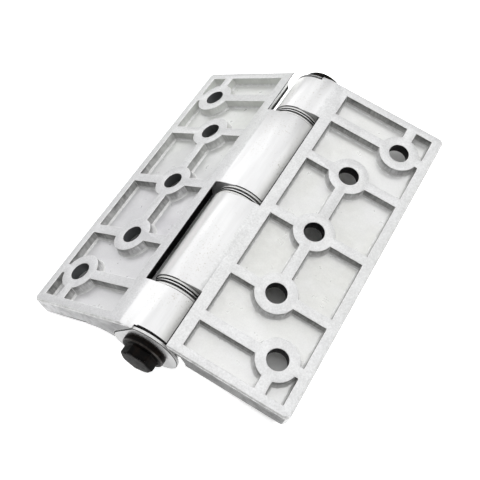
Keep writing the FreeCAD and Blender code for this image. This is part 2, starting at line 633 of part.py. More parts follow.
def make_nut_washer(label):
    """Washer as wide as the barrel, kept from turning by a flat along the recess's upper flank."""
    body = new_body(label)
    sizes = ("Dims.barrel_diameter", "Dims.plate_hole", "Dims.nut_washer_thickness", "Dims.ring_chamfer")
    turn_ring(body, "Dims.barrel_end", 1, sizes)
    waste = new_sketch(body, "XZ_Plane", label + "_flat_waste", "-" + NUT_SEAT)
    beyond = FLANK_REACH + " + 5"
    corners = []
    for out, along in ((FLANK_REACH, -15), (beyond, -15), (beyond, 15), (FLANK_REACH, 15)):
        corners.append((
            "(%s) * cos(Dims.flank_angle) - %d * sin(Dims.flank_angle)" % (out, along),
            "(%s) * sin(Dims.flank_angle) + %d * cos(Dims.flank_angle)" % (out, along),
        ))
    add_polygon(waste, corners)
    cut = pocket(body, waste, label + "_flat", "Dims.nut_washer_thickness")
    cut.Reversed = True
    doc.recompute()
    place_with_leaf(body, 1)
    return body


def trim_hexagon(body, name, flats, end, way):
    """Turn the corners of a hexagon down to a cone at its end; way points out of that end."""
    section = new_sketch(body, "XY_Plane", name + "_section")
    inner = flats + " * 0.475"
    outer = flats + " * 0.62"
    drop = "%s - %d * (%s - %s) * tan(30)" % (end, way, outer, inner)
    over = "%s + %d * 0.5" % (end, way)
    add_polygon(section, [
        (inner, end), (outer, drop), (outer, over), (inner, over),
    ])
    turn(body, section, name, "Groove")


def make_pin_bolt(label):
    body = new_body(label)
    head = new_sketch(body, "XZ_Plane", label + "_head_outline", "Dims.head_end")
    add_hexagon(head, "Dims.head_flats")
    pad(body, head, label + "_head", "Dims.head_end - " + HEAD_SEAT, reverse=True)
    trim_hexagon(body, label + "_crown", "Dims.head_flats", "-Dims.head_end", -1)
    shaft = new_sketch(body, "XY_Plane", label + "_shaft_section")
    seat = "-" + HEAD_SEAT
    cone_top = seat + " - Dims.flange_rim - Dims.flange_rise"
    add_polygon(shaft, [
        ("0", cone_top),
        ("Dims.head_flats * 0.56", cone_top),
        ("Dims.flange_diameter / 2", seat + " - Dims.flange_rim"),
        ("Dims.flange_diameter / 2", seat),
        ("Dims.shank_diameter / 2", seat),
        ("Dims.shank_diameter / 2", "Dims.thread_start"),
        ("Dims.thread_diameter / 2", "Dims.thread_start"),
        ("Dims.thread_diameter / 2", "Dims.bolt_tip - Dims.tip_chamfer"),
        ("Dims.thread_diameter / 2 - Dims.tip_chamfer", "Dims.bolt_tip"),
        ("0", "Dims.bolt_tip"),
    ])
    turn(body, shaft, label + "_shaft")
    place_with_leaf(body, 1)
    return body


def make_pin_nut(label):
    """Round nut with two blind holes for a pin spanner."""
    body = new_body(label)
    sizes = ("Dims.nut_diameter", "Dims.nut_bore", "Dims.nut_thickness", "Dims.nut_bevel")
    turn_ring(body, NUT_SEAT, 1, sizes)
    holes = new_sketch(body, "XZ_Plane", label + "_hole_outlines",
                       "-(%s + Dims.nut_thickness)" % NUT_SEAT)
    for across in ("Dims.spanner_row", "-Dims.spanner_row"):
        add_circle(holes, across, "0", "Dims.spanner_hole")
    cut = pocket(body, holes, label + "_spanner_holes", "Dims.spanner_depth")
    cut.Reversed = True
    doc.recompute()
    place_with_leaf(body, 1)
    return body


def main():
    pieces = [
        make_leaf("right_leaf", 1),
        make_leaf("left_leaf", -1),
        make_lock_plate("lock_plate", -1),
        make_pin_bolt("pin_bolt"),
        make_pin_nut("pin_nut"),
        make_nut_washer("nut_washer"),
    ]
    for label, knuckle_end, way in (
        ("knuckle_1_bush", "Dims.end_knuckle_start", -1),
        ("knuckle_2_far_bush", "Dims.mid_knuckle_end", 1),
        ("knuckle_2_near_bush", "Dims.mid_knuckle_start", -1),
        ("knuckle_3_far_bush", "-Dims.mid_knuckle_start", 1),
        ("knuckle_3_near_bush", "-Dims.mid_knuckle_end", -1),
        ("knuckle_4_bush", "-Dims.end_knuckle_start", 1),
    ):
        pieces.append(make_bush(label, knuckle_end, way))
    # Each washer lies against the flange of a bush in the right leaf.
    for label, seat, way in (
        ("thrust_washer_1", "Dims.end_knuckle_start - Dims.bush_flange", -1),
        ("thrust_washer_2", "-Dims.mid_knuckle_start + Dims.bush_flange", 1),
        ("thrust_washer_3", "-Dims.mid_knuckle_end - Dims.bush_flange", -1),
    ):
        pieces.append(make_thrust_washer(label, seat, way))
    doc.recompute()
    for thing in doc.Objects:
        if "Invalid" in thing.State or "Error" in thing.State:
            raise RuntimeError("%s did not build: %s" % (thing.Name, thing.State))
    os.makedirs("parts", exist_ok=True)
    for piece in pieces:
        if piece.Shape.isNull() or not piece.Shape.isValid():
            raise RuntimeError("%s has no sound shape" % piece.Label)
        if len(piece.Shape.Solids) != 1:
            raise RuntimeError("%s is not one solid" % piece.Label)
        piece.Shape.exportStep("parts/%s.step" % piece.Label)


if __name__ == "__main__":
    main()
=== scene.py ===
"""Finishes of a cold room door hinge: bare castings, black bolt, plated plates and bearing rings."""

import json
import math

import bmesh
import bpy
from mathutils import Matrix, Vector
from mathutils.bvhtree import BVHTree

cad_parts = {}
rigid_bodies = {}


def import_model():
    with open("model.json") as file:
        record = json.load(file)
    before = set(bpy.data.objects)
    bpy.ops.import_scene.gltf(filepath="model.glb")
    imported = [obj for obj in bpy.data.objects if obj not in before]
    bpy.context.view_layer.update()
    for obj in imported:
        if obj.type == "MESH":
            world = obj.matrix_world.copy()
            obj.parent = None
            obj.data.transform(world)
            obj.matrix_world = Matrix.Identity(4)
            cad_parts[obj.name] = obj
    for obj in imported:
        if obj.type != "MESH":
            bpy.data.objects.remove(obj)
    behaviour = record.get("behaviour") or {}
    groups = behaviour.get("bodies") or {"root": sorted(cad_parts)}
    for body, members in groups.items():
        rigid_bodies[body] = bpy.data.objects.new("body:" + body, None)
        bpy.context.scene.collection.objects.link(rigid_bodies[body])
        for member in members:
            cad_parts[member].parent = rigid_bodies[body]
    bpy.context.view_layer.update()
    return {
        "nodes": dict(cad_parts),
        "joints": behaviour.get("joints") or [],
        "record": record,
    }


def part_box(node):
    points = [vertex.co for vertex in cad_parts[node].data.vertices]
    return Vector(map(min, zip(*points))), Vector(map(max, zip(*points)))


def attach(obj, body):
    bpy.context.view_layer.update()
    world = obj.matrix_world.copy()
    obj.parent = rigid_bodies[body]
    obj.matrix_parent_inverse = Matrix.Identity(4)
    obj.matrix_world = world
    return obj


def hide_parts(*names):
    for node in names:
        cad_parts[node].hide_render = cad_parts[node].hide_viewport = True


for leftover in list(bpy.data.objects):
    bpy.data.objects.remove(leftover)
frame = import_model()

bl_info = {
    "name": "Cold Room Door Hinge",
    "version": (1, 0, 0),
    "blender": (4, 5, 0),
    "location": "View3D > Sidebar > Hinge",
    "description": "Finishes the castings, pin bolt, plates and rings of a cold room door hinge",
    "category": "Object",
}

MILLIMETRE = 0.001
BLACK = (0.0, 0.0, 0.0, 1.0)
WHITE = (1.0, 1.0, 1.0, 1.0)

# Corners closer than the first are one corner, and a cut closer to a corner than the second meets it.
MERGE_DISTANCE = 0.002 * MILLIMETRE
CUT_TOUCH = 0.001 * MILLIMETRE
# Corners farther than this beyond a cut lie past it.
PAST_CUT = 0.01 * MILLIMETRE
# Faces that meet at less than this angle are one flat face.
FLAT_ANGLE = math.radians(0.4)
# Edges sharper than the first angle are rounded, and those sharper than the second are shaded crisp.
ROUNDED_ANGLE = math.radians(28.0)
CRISP_ANGLE = math.radians(35.0)
ROUNDING_STEPS = 3
# Edges shorter than this are closed up before the rounding.
SLIVER = 0.05 * MILLIMETRE
# Corners farther than this from the CAD surface are strays of the rounding.
STRAY = 0.12 * MILLIMETRE

FRAME_LEAF = "frame_leaf"
DOOR_LEAF = "door_leaf"
PIN = Vector(frame["joints"][0]["pos_m"])
ALONG_PIN = Vector((0.0, 1.0, 0.0))
# Tilt of the two leaves about the pin, as the hinge stands.
LEAF_TILT = {"right_leaf": math.radians(19.0), "left_leaf": math.radians(-19.0)}
LEAF_BODY = {"right_leaf": FRAME_LEAF, "left_leaf": DOOR_LEAF}

# Places on a leaf, measured from the pin: heights square to its mounting face, radii, and distances
# across the leaf or along the pin.
FACE_HEIGHT = 14.05 * MILLIMETRE
FLOOR_HEIGHT = 9.85 * MILLIMETRE
BARREL_RADIUS = 12.75 * MILLIMETRE
CREASE_RADIUS = 15.2 * MILLIMETRE
HOLLOW_RADIUS = 16.0 * MILLIMETRE
POCKET_INNER = 13.3 * MILLIMETRE
POCKET_OUTER = 57.1 * MILLIMETRE
POCKET_END = 70.8 * MILLIMETRE
BARREL_END = 73.6 * MILLIMETRE
LEAF_END = 75.0 * MILLIMETRE
# Radii of a screw hole and its boss, and the holes' places across the leaf and along the pin.
HOLE_RADIUS = 4.5 * MILLIMETRE
BOSS_RADIUS = 9.0 * MILLIMETRE
SCREW_HOLES = [Vector((across, along)) * MILLIMETRE for across, along in
               ((46.8, 56.5), (33.1, 32.8), (33.1, 0.0), (33.1, -32.8), (46.8, -56.5))]
# How far the middle of a face may lie off these places and still belong to them.
SLACK = 0.1 * MILLIMETRE
HOLLOW_SLACK = 0.4 * MILLIMETRE
BOSS_SLACK = 0.7 * MILLIMETRE
POCKET_SLACK = 1.0 * MILLIMETRE
END_SLACK = 1.0 * MILLIMETRE
END_EDGE_REACH = 2.0 * MILLIMETRE
# A knuckle's rounded ends lie between these radii.
KNUCKLE_END_RADII = (BARREL_RADIUS - 1.0 * MILLIMETRE, BARREL_RADIUS + 0.05 * MILLIMETRE)

# Where a hollow cuts the mounting face, and how far the hollows reach along the pin.
HOLLOW_EDGE = math.sqrt(HOLLOW_RADIUS ** 2 - FACE_HEIGHT ** 2)
OPEN_END = 100.0 * MILLIMETRE
HOLLOWS = {"right_leaf": [(-2.1 * MILLIMETRE, 52.6 * MILLIMETRE), (-OPEN_END, -48.5 * MILLIMETRE)],
           "left_leaf": [(-52.6 * MILLIMETRE, 2.1 * MILLIMETRE), (48.5 * MILLIMETRE, OPEN_END)]}
# Painted shade: a black band at the barrel's near end, drawn as a groove, and the stretch of the left
# leaf's hollows that is painted black all over.
GROOVE_WIDTH = 1.0 * MILLIMETRE
BLACK_HOLLOW_END = 50.0 * MILLIMETRE
# Painted shade: a black line along a hollow's edge: its width on the rim, and its reach into the hollow
# and down.
GAP_LINE_WIDTH = 0.5 * MILLIMETRE
GAP_LINE_INWARDS = 0.3 * MILLIMETRE
GAP_LINE_DEPTH = 0.5 * MILLIMETRE

# Stretches over which a leaf's finish changes: up to the grained rim, from the near stain to the far
# one, from the middle to the ends, painted lighter, to the paler far walls, and over a knuckle's flank,
# painted lighter.
RIM_HEIGHTS = (FACE_HEIGHT - 0.9 * MILLIMETRE, FACE_HEIGHT - 0.3 * MILLIMETRE)
STAIN_CHANGE = (-20.0 * MILLIMETRE, 40.0 * MILLIMETRE)
LIT_ENDS = (20.0 * MILLIMETRE, 62.0 * MILLIMETRE)
PALER_FAR_WALLS = (5.0 * MILLIMETRE, 50.0 * MILLIMETRE)
FLANK_FADE = 2.5 * MILLIMETRE

# The lock plate's back face is eased by this much where it slides over the right leaf's end.
PLATE_CLEARANCE = 0.03 * MILLIMETRE
# The bolt's flange carries a painted glint outside this radius, and its rounding may sink this far below
# the CAD.
FLANGE_GLINT_RADIUS = 8.4 * MILLIMETRE
BOLT_SINK = 1.0 * MILLIMETRE
# The thread starts this far inside the nut's outer face and stops this far before the bolt's end.
THREAD_OVERLAP = 0.25 * MILLIMETRE
THREAD_RUNOUT = 0.75 * MILLIMETRE
# Steps in one turn of the thread, and corners of its ridge's section.
THREAD_STEPS = 36
RIDGE_CORNERS = 4
# A ring's outer face lies outside this radius.
RING_OUTSIDE = 11.5 * MILLIMETRE

# Dark part of the table under the hinge: its middle across the pin, the distances over which the glow
# comes up at its sides and its ends, and how far the ends lean out with the distance from the middle.
SHADE_MIDDLE = -5.0 * MILLIMETRE
SHADE_SIDES = (56.0 * MILLIMETRE, 63.0 * MILLIMETRE)
SHADE_ENDS = (56.0 * MILLIMETRE, 64.0 * MILLIMETRE)
SHADE_LEAN = 0.25
# Floor and lights, in metres.
FLOOR_HALF = 3.0
LIGHT_AIM = Vector((0.0, 0.0, 0.01))
KEY_LIGHT_PLACE = Vector((0.0, 0.36, 1.00))
KEY_LIGHT_SIZE = (3.2, 1.6)
SIDE_LIGHT_PLACE = Vector((-1.15, 0.46, 0.54))
SIDE_LIGHT_SIZE = (1.6, 0.9)
# Where the photograph was taken from, measured from the middle of the pin.
CAMERA_PLACE = Vector((0.14179, -0.16202, 0.26329))
CAMERA_RIGHT = Vector((0.85296, 0.49846, -0.15489))
CAMERA_UP = Vector((-0.32872, 0.74347, 0.58241))
CAMERA_BACK = Vector((0.40547, -0.44585, 0.79800))
# Nearest distance that the camera shows, and the width of its sensor in millimetres.
CAMERA_NEAR = 10.0 * MILLIMETRE
SENSOR_WIDTH = 36.0


class CastingSettings(bpy.types.PropertyGroup):
    """Bare metal of the two leaves."""

    light_metal: bpy.props.FloatVectorProperty(
        name="Light metal", description="Clean die-cast skin", subtype="COLOR",
        size=3, min=0.0, max=1.0, default=(0.555, 0.557, 0.562))
    dull_metal: bpy.props.FloatVectorProperty(
        name="Dull metal", description="Slightly oxidised skin", subtype="COLOR",
        size=3, min=0.0, max=1.0, default=(0.518, 0.521, 0.512))
    warm_stain: bpy.props.FloatVectorProperty(
        name="Warm stain", description="Faint clouds on the right leaf's floors", subtype="COLOR",
        size=3, min=0.0, max=1.0, default=(0.590, 0.593, 0.566))
    cool_stain: bpy.props.FloatVectorProperty(
        name="Cool stain", description="Faint clouds on the left leaf's near floors", subtype="COLOR",
        size=3, min=0.0, max=1.0, default=(0.562, 0.552, 0.583))
    green_stain: bpy.props.FloatVectorProperty(
        name="Green stain", description="Faint clouds on the left leaf's far floors", subtype="COLOR",
        size=3, min=0.0, max=1.0, default=(0.600, 0.618, 0.580))
    # Wear, with a painted highlight on the edges; also painted light on the wall feet and the leaf ends.
    wear_and_light_metal: bpy.props.FloatVectorProperty(
        name="Edge metal", description="Paler metal: wear with a painted highlight on the edges, and painted light on the wall feet and leaf ends", subtype="COLOR",
        size=3, min=0.0, max=1.0, default=(0.74, 0.74, 0.74))
    barrel_metal: bpy.props.FloatVectorProperty(
        name="Barrel metal", description="Smoothed metal of the knuckles", subtype="COLOR",
        size=3, min=0.0, max=1.0, default=(0.548, 0.548, 0.551))
    # Painted shade: black in the gaps along the hollows, in the end groove and at the knuckles' ends.
    gap_shade: bpy.props.FloatVectorProperty(
        name="Grime", description="Painted black shade along the hollows and in the end groove",
        subtype="COLOR", size=3, min=0.0, max=1.0, default=(0.007, 0.007, 0.007))
    # Partly painted shade: the pocket walls are darker than the skin of the floors and rims.
    shaded_wall_metal: bpy.props.FloatVectorProperty(
        name="Wall metal", description="Dull as-cast walls of the pockets, darkened with painted shade", subtype="COLOR",
        size=3, min=0.0, max=1.0, default=(0.42, 0.42, 0.415))
    paler_far_wall: bpy.props.FloatVectorProperty(
        name="Paler far wall", description="Paler, less metallic walls towards the left leaf's far end", subtype="COLOR",
        size=3, min=0.0, max=1.0, default=(0.79, 0.81, 0.77))
    boss_metal: bpy.props.FloatVectorProperty(
        name="Boss metal", description="Paler walls of the bosses round the screw holes",
        subtype="COLOR", size=3, min=0.0, max=1.0, default=(0.62, 0.62, 0.62))
    # Painted shade inside the screw holes, darker on the right leaf than on the left.
    hole_shade: bpy.props.FloatVectorProperty(
        name="Hole shade", description="Painted shade on the drilled walls of the right leaf's screw holes",
        subtype="COLOR", size=3, min=0.0, max=1.0, default=(0.032, 0.032, 0.034))
    pale_hole_shade: bpy.props.FloatVectorProperty(
        name="Pale hole shade", description="Lighter painted shade on the drilled walls of the left leaf's screw holes",
        subtype="COLOR", size=3, min=0.0, max=1.0, default=(0.145, 0.15, 0.155))
    # Painted shade on the leaves' near ends, darker on the right leaf.
    end_shade: bpy.props.FloatVectorProperty(
        name="End shade", description="Grey painted shade on the right leaf's near end", subtype="COLOR",
        size=3, min=0.0, max=1.0, default=(0.20, 0.20, 0.20))
    pale_end_shade: bpy.props.FloatVectorProperty(
        name="Pale end shade", description="Lighter painted shade on the left leaf's near end", subtype="COLOR",
        size=3, min=0.0, max=1.0, default=(0.42, 0.42, 0.425))
    edge_width: bpy.props.FloatProperty(
        name="Edge width", description="Rounding of the casting's edges", unit="LENGTH",
        min=0.0, default=0.20 * MILLIMETRE)


class FastenerSettings(bpy.types.PropertyGroup):
    """Pin bolt, nut and the plates under them."""

    black_oxide: bpy.props.FloatVectorProperty(
        name="Black oxide", description="Blackened steel of the bolt and nut", subtype="COLOR",
        size=3, min=0.0, max=1.0, default=(0.003, 0.0028, 0.0028))
    brown_tint: bpy.props.FloatVectorProperty(
        name="Brown tint", description="Where the black has worn thin", subtype="COLOR",
        size=3, min=0.0, max=1.0, default=(0.012, 0.008, 0.006))
    # Painted glint on the rounded rim of the bolt's flange.
    flange_glint: bpy.props.FloatVectorProperty(
        name="Flange glint", description="Painted glint on the rim of the bolt's flange", subtype="COLOR",
        size=3, min=0.0, max=1.0, default=(0.06, 0.055, 0.05))
    # Painted shade along the plates' rounded edges.
    plate_edge_shade: bpy.props.FloatVectorProperty(
        name="Plate edge", description="Painted shade along the plates' rounded edges", subtype="COLOR",
        size=3, min=0.0, max=1.0, default=(0.02, 0.02, 0.02))
    zinc: bpy.props.FloatVectorProperty(
        name="Zinc", description="Plating of the lock plate and washer", subtype="COLOR",
        size=3, min=0.0, max=1.0, default=(0.55, 0.55, 0.55))
    thread_pitch: bpy.props.FloatProperty(
        name="Thread pitch", description="Pitch of the bolt's thread", unit="LENGTH",
        min=0.0, default=1.25 * MILLIMETRE)
    thread_depth: bpy.props.FloatProperty(
        name="Thread depth", description="Height of the bolt's thread", unit="LENGTH",
        min=0.0, default=0.55 * MILLIMETRE)
    thread_radius: bpy.props.FloatProperty(
        name="Thread radius", description="Outside of the bolt's thread", unit="LENGTH",
        min=0.0, default=3.92 * MILLIMETRE)
    bolt_rounding: bpy.props.FloatProperty(
        name="Bolt rounding", description="Rounding of the bolt's edges", unit="LENGTH",
        min=0.0, default=0.5 * MILLIMETRE)
    nut_rounding: bpy.props.FloatProperty(
        name="Nut rounding", description="Rounding of the nut's edges", unit="LENGTH",
        min=0.0, default=0.15 * MILLIMETRE)
    plate_rounding: bpy.props.FloatProperty(
        name="Plate rounding", description="Rounding of the plates' edges", unit="LENGTH",
        min=0.0, default=0.22 * MILLIMETRE)


class RingSettings(bpy.types.PropertyGroup):
    """Bush flanges and thrust washers between the knuckles."""

    acetal: bpy.props.FloatVectorProperty(
        name="Acetal", description="Off-white plastic of the bushes", subtype="COLOR",
        size=3, min=0.0, max=1.0, default=(0.62, 0.62, 0.615))
    washer_steel: bpy.props.FloatVectorProperty(
        name="Washer steel", description="Turned steel of the thrust washers", subtype="COLOR",
        size=3, min=0.0, max=1.0, default=(0.57, 0.57, 0.57))
    # Lubricant and painted shade: the dark lines in the narrow gaps between the rings.
    grease_and_shade: bpy.props.FloatVectorProperty(
        name="Lubricant and shade", description="Dark lubricant and painted shade in the grooves between the rings", subtype="COLOR",
        size=3, min=0.0, max=1.0, default=(0.008, 0.008, 0.008))
    grease_and_shade_band: bpy.props.FloatProperty(
        name="Grease band", description="Width of the dark band at both ends of a ring", unit="LENGTH",
        min=0.0, default=0.19 * MILLIMETRE)


class StudioSettings(bpy.types.PropertyGroup):
    """Lit table, lights and camera."""

    floor_paint: bpy.props.FloatVectorProperty(
        name="Floor", description="Pale studio table", subtype="COLOR",
        size=3, min=0.0, max=1.0, default=(0.92, 0.92, 0.92))
    table_glow: bpy.props.FloatProperty(
        name="Table glow", description="Light of the table round the hinge", min=0.0, default=0.75)
    key_watts: bpy.props.FloatProperty(
        name="Key light", description="Large soft light overhead, towards the far end", unit="POWER",
        min=0.0, default=25.8)
    side_watts: bpy.props.FloatProperty(
        name="Side light", description="Soft light from the left", unit="POWER",
        min=0.0, default=3.7)
    room_strength: bpy.props.FloatProperty(
        name="Room light", description="Even light from all round", min=0.0, default=0.29)
    lens: bpy.props.FloatProperty(
        name="Lens", description="Focal length on a 36 mm sensor", subtype="DISTANCE_CAMERA",
        min=1.0, default=58.515)


def new_material(name):
    """A material with its node tree and its main shader."""
    material = bpy.data.materials.new(name)
    material.use_nodes = True
    tree = material.node_tree
    shader = next(node for node in tree.nodes if node.type == "BSDF_PRINCIPLED")
    return material, tree, shader


def fill_inputs(tree, node, inputs):
    """Join the inputs that are given as sockets, and set the others on the node itself."""
    for key, value in inputs.items():
        if isinstance(value, bpy.types.NodeSocket):
            tree.links.new(value, node.inputs[key])
        else:
            node.inputs[key].default_value = value


def add_node(tree, kind, inputs=None, **settings):
    """A new node with its settings and its inputs."""
    node = tree.nodes.new(kind)
    for name, value in settings.items():
        setattr(node, name, value)
    fill_inputs(tree, node, inputs or {})
    return node


def tinted(tone, red, green, blue):
    """The tone as an opaque colour, with its own share of each primary."""
    return (red * tone[0], green * tone[1], blue * tone[2], 1.0)


def opaque(tone, share=1.0):
    """The tone as an opaque colour, made darker or paler by a share."""
    return tinted(tone, share, share, share)


def object_place(tree):
    return add_node(tree, "ShaderNodeTexCoord").outputs["Object"]


def upright_turn(tilt):
    """Turn that stands a tilted leaf upright, its mounting face square to Z."""
    return Matrix.Rotation(-tilt, 3, "Y")


def leaf_place(tree, tilt):
    """Object coordinates with the pin as origin and Z square to the leaf's mounting face."""
    node = add_node(tree, "ShaderNodeMapping",
                    {"Vector": object_place(tree), "Rotation": (0.0, -tilt, 0.0),
                     "Location": -(upright_turn(tilt) @ PIN)})
    return node.outputs["Vector"]


def split_axes(tree, place):
    return add_node(tree, "ShaderNodeSeparateXYZ", {"Vector": place}).outputs


def stretch(tree, place, scale):
    """The place with its axes scaled, which draws a pattern out along an axis with a small scale."""
    return add_node(tree, "ShaderNodeMapping", {"Vector": place, "Scale": scale}).outputs["Vector"]


def noise(tree, place, scale, detail=3.0, rough=0.5):
    node = add_node(tree, "ShaderNodeTexNoise",
                    {"Vector": place, "Scale": scale, "Detail": detail, "Roughness": rough})
    return node.outputs["Fac"]


def remap(tree, value, low, high, to_low=0.0, to_high=1.0):
    """The value moved from one range to another, and kept within that one."""
    node = add_node(tree, "ShaderNodeMapRange",
                    {"Value": value, "From Min": low, "From Max": high,
                     "To Min": to_low, "To Max": to_high})
    return node.outputs["Result"]


def spots(tree, place, scale, low, high, to_low=0.0, to_high=1.0, detail=3.0, rough=0.5):
    """Noise whose values from low to high are spread over another range."""
    return remap(tree, noise(tree, place, scale, detail, rough), low, high, to_low, to_high)


def calculate(tree, operation, first, second=0.0):
    node = add_node(tree, "ShaderNodeMath", {0: first, 1: second}, operation=operation)
    return node.outputs[0]


def blend(tree, share, first, second):
    """Colour from first (share 0) to second (share 1)."""
    node = add_node(tree, "ShaderNodeMix", {0: share, 6: first, 7: second}, data_type="RGBA")
    return node.outputs[2]


def blend_values(tree, share, first, second):
    """Value from first (share 0) to second (share 1)."""
    node = add_node(tree, "ShaderNodeMix", {0: share, 2: first, 3: second}, data_type="FLOAT")
    return node.outputs[0]


def set_bump(tree, shader, height, distance, strength):
    bump = add_node(tree, "ShaderNodeBump",
                    {"Height": height, "Distance": distance, "Strength": strength})
    tree.links.new(bump.outputs["Normal"], shader.inputs["Normal"])


def make_cast_metal(name, settings, tilt, looks):
    """Die-cast skin: finely grained rims, and smoother stained floors, painted lighter towards both
    ends.
    """
    material, tree, shader = new_material(name)
    place = leaf_place(tree, tilt)
    axes = split_axes(tree, place)
    rim = remap(tree, axes["Z"], *RIM_HEIGHTS)
    clouds = spots(tree, place, scale=55.0, low=0.38, high=0.62, to_low=0.35)
    mottle = spots(tree, place, scale=320.0, low=0.35, high=0.65, to_high=0.1, detail=4.0, rough=0.6)
    far_off = remap(tree, axes["Y"], *STAIN_CHANGE)
    stain = blend(tree, far_off, opaque(looks["near_stain"]), opaque(looks["far_stain"]))
    dull = blend(tree, mottle, stain, BLACK)
    cloudy = blend(tree, clouds, opaque(settings.light_metal, looks["floor_light_share"]), dull)
    # Painted light: the skin pales towards both ends of the leaf.
    ends = remap(tree, calculate(tree, "ABSOLUTE", axes["Y"]), *LIT_ENDS, to_high=0.36)
    skin = blend(tree, ends, cloudy, opaque(settings.wear_and_light_metal))
    speckle = spots(tree, place, scale=1600.0, low=0.32, high=0.68, detail=2.0, rough=0.6)
    light_grain = opaque(settings.light_metal, 1.05 * looks["rim_light_share"])
    dark_grain = opaque(settings.light_metal, 0.80 * looks["rim_light_share"])
    grained = blend(tree, speckle, light_grain, dark_grain)
    sheen = spots(tree, place, scale=240.0, low=0.3, high=0.7, to_low=0.27, to_high=0.35)
    fill_inputs(tree, shader, {
        "Base Color": blend(tree, blend_values(tree, rim, 0.25, 0.8), skin, grained),
        "Roughness": calculate(tree, "ADD", sheen, blend_values(tree, rim, 0.0, 0.17)),
        "Metallic": blend_values(tree, rim, 0.4, 0.9),
    })
    grain = noise(tree, place, scale=2000.0, detail=2.0, rough=0.6)
    height = calculate(tree, "MULTIPLY", grain, blend_values(tree, rim, 0.35, 1.0))
    set_bump(tree, shader, height, distance=0.06 * MILLIMETRE, strength=0.6)
    return material


def make_barrel_metal(name, tone, looks):
    """Smoothed knuckles: soft streaks along the pin, brownish pits, and a paler, less metallic flank on
    one side that is painted light.
    """
    material, tree, shader = new_material(name)
    place = object_place(tree)
    # Painted light: the flank beside the other leaf's hollow is paler and less metallic, so it stays
    # bright beside the dark gap.
    sideways = calculate(tree, "MULTIPLY", split_axes(tree, place)["X"], looks["lit_flank_side"])
    flank = remap(tree, sideways, looks["flank_start"], looks["flank_start"] + FLANK_FADE)
    drawn = stretch(tree, place, (1.0, 0.10, 1.0))
    streaks = spots(tree, drawn, scale=260.0, low=0.35, high=0.7, rough=0.6)
    satin = blend(tree, streaks, opaque(tone), opaque(tone, 0.93))
    lit_flank = blend(tree, flank, satin, tinted(tone, 1.36, 1.36, 1.33))
    patches = spots(tree, place, scale=60.0, low=0.46, high=0.62, detail=2.0)
    pits = spots(tree, place, scale=1300.0, low=0.58, high=0.72, to_high=0.7, detail=2.0, rough=0.6)
    pitted = calculate(tree, "MULTIPLY", patches, pits)
    fill_inputs(tree, shader, {
        "Base Color": blend(tree, pitted, lit_flank, tinted(tone, 0.62, 0.58, 0.50)),
        "Roughness": blend_values(tree, streaks, 0.32, 0.42),
        "Metallic": blend_values(tree, flank, 0.85, 0.1),
    })
    grain = noise(tree, place, scale=1500.0, detail=2.0, rough=0.6)
    set_bump(tree, shader, grain, distance=0.02 * MILLIMETRE, strength=0.5)
    return material


def make_wall_metal(name, tone, tilt, metallic, paler_tone, paler_share):
    """Dull walls with marks square to the mounting face and a ragged top in painted shade; far ones can
    be paler and less metallic.
    """
    material, tree, shader = new_material(name)
    place = leaf_place(tree, tilt)
    axes = split_axes(tree, place)
    drawn = stretch(tree, place, (1.0, 1.0, 0.15))
    marks = spots(tree, drawn, scale=900.0, low=0.3, high=0.7, rough=0.65)
    streaked = blend(tree, marks, opaque(tone, 0.70), opaque(tone, 1.30))
    height = remap(tree, axes["Z"], FLOOR_HEIGHT, FACE_HEIGHT)
    patches = spots(tree, place, scale=190.0, low=0.36, high=0.64, rough=0.6)
    uneven = calculate(tree, "ADD", calculate(tree, "MULTIPLY", marks, 0.2), patches)
    ragged = calculate(tree, "SUBTRACT", height, calculate(tree, "MULTIPLY", uneven, 0.5))
    # Painted shade: a ragged darker band along the top of each wall.
    shaded_top = blend(tree, remap(tree, ragged, 0.22, 0.75), streaked, opaque(tone, 0.48))
    surface = {"Base Color": shaded_top, "Roughness": blend_values(tree, marks, 0.45, 0.6),
               "Metallic": metallic}
    if paler_share > 0.0:
        paler_far = remap(tree, axes["Y"], *PALER_FAR_WALLS, to_high=paler_share)
        surface["Base Color"] = blend(tree, paler_far, shaded_top, opaque(paler_tone))
        surface["Metallic"] = blend_values(tree, paler_far, metallic, 0.15)
    fill_inputs(tree, shader, surface)
    set_bump(tree, shader, marks, distance=0.06 * MILLIMETRE, strength=0.5)
    return material


def make_end_shade(name, tone, tilt):
    """Near end of a leaf in grey painted shade, darker towards the pin, with fine lines along the leaf.
    """
    material, tree, shader = new_material(name)
    place = leaf_place(tree, tilt)
    from_pin = calculate(tree, "ABSOLUTE", split_axes(tree, place)["X"])
    outwards = remap(tree, from_pin, POCKET_INNER, POCKET_OUTER)
    drawn = stretch(tree, place, (0.10, 1.0, 1.0))
    lines = spots(tree, drawn, scale=800.0, low=0.3, high=0.7, rough=0.65)
    light = blend(tree, outwards, opaque(tone), opaque(tone, 1.6))
    dark = blend(tree, outwards, opaque(tone, 0.5), opaque(tone))
    blotches = spots(tree, place, scale=260.0, low=0.42, high=0.66, to_high=0.75, detail=4.0, rough=0.65)
    fill_inputs(tree, shader, {
        "Base Color": blend(tree, blotches, blend(tree, lines, dark, light), opaque(tone, 0.40)),
        "Roughness": blend_values(tree, lines, 0.45, 0.6),
        "Metallic": 0.6,
    })
    set_bump(tree, shader, lines, distance=0.06 * MILLIMETRE, strength=0.5)
    return material


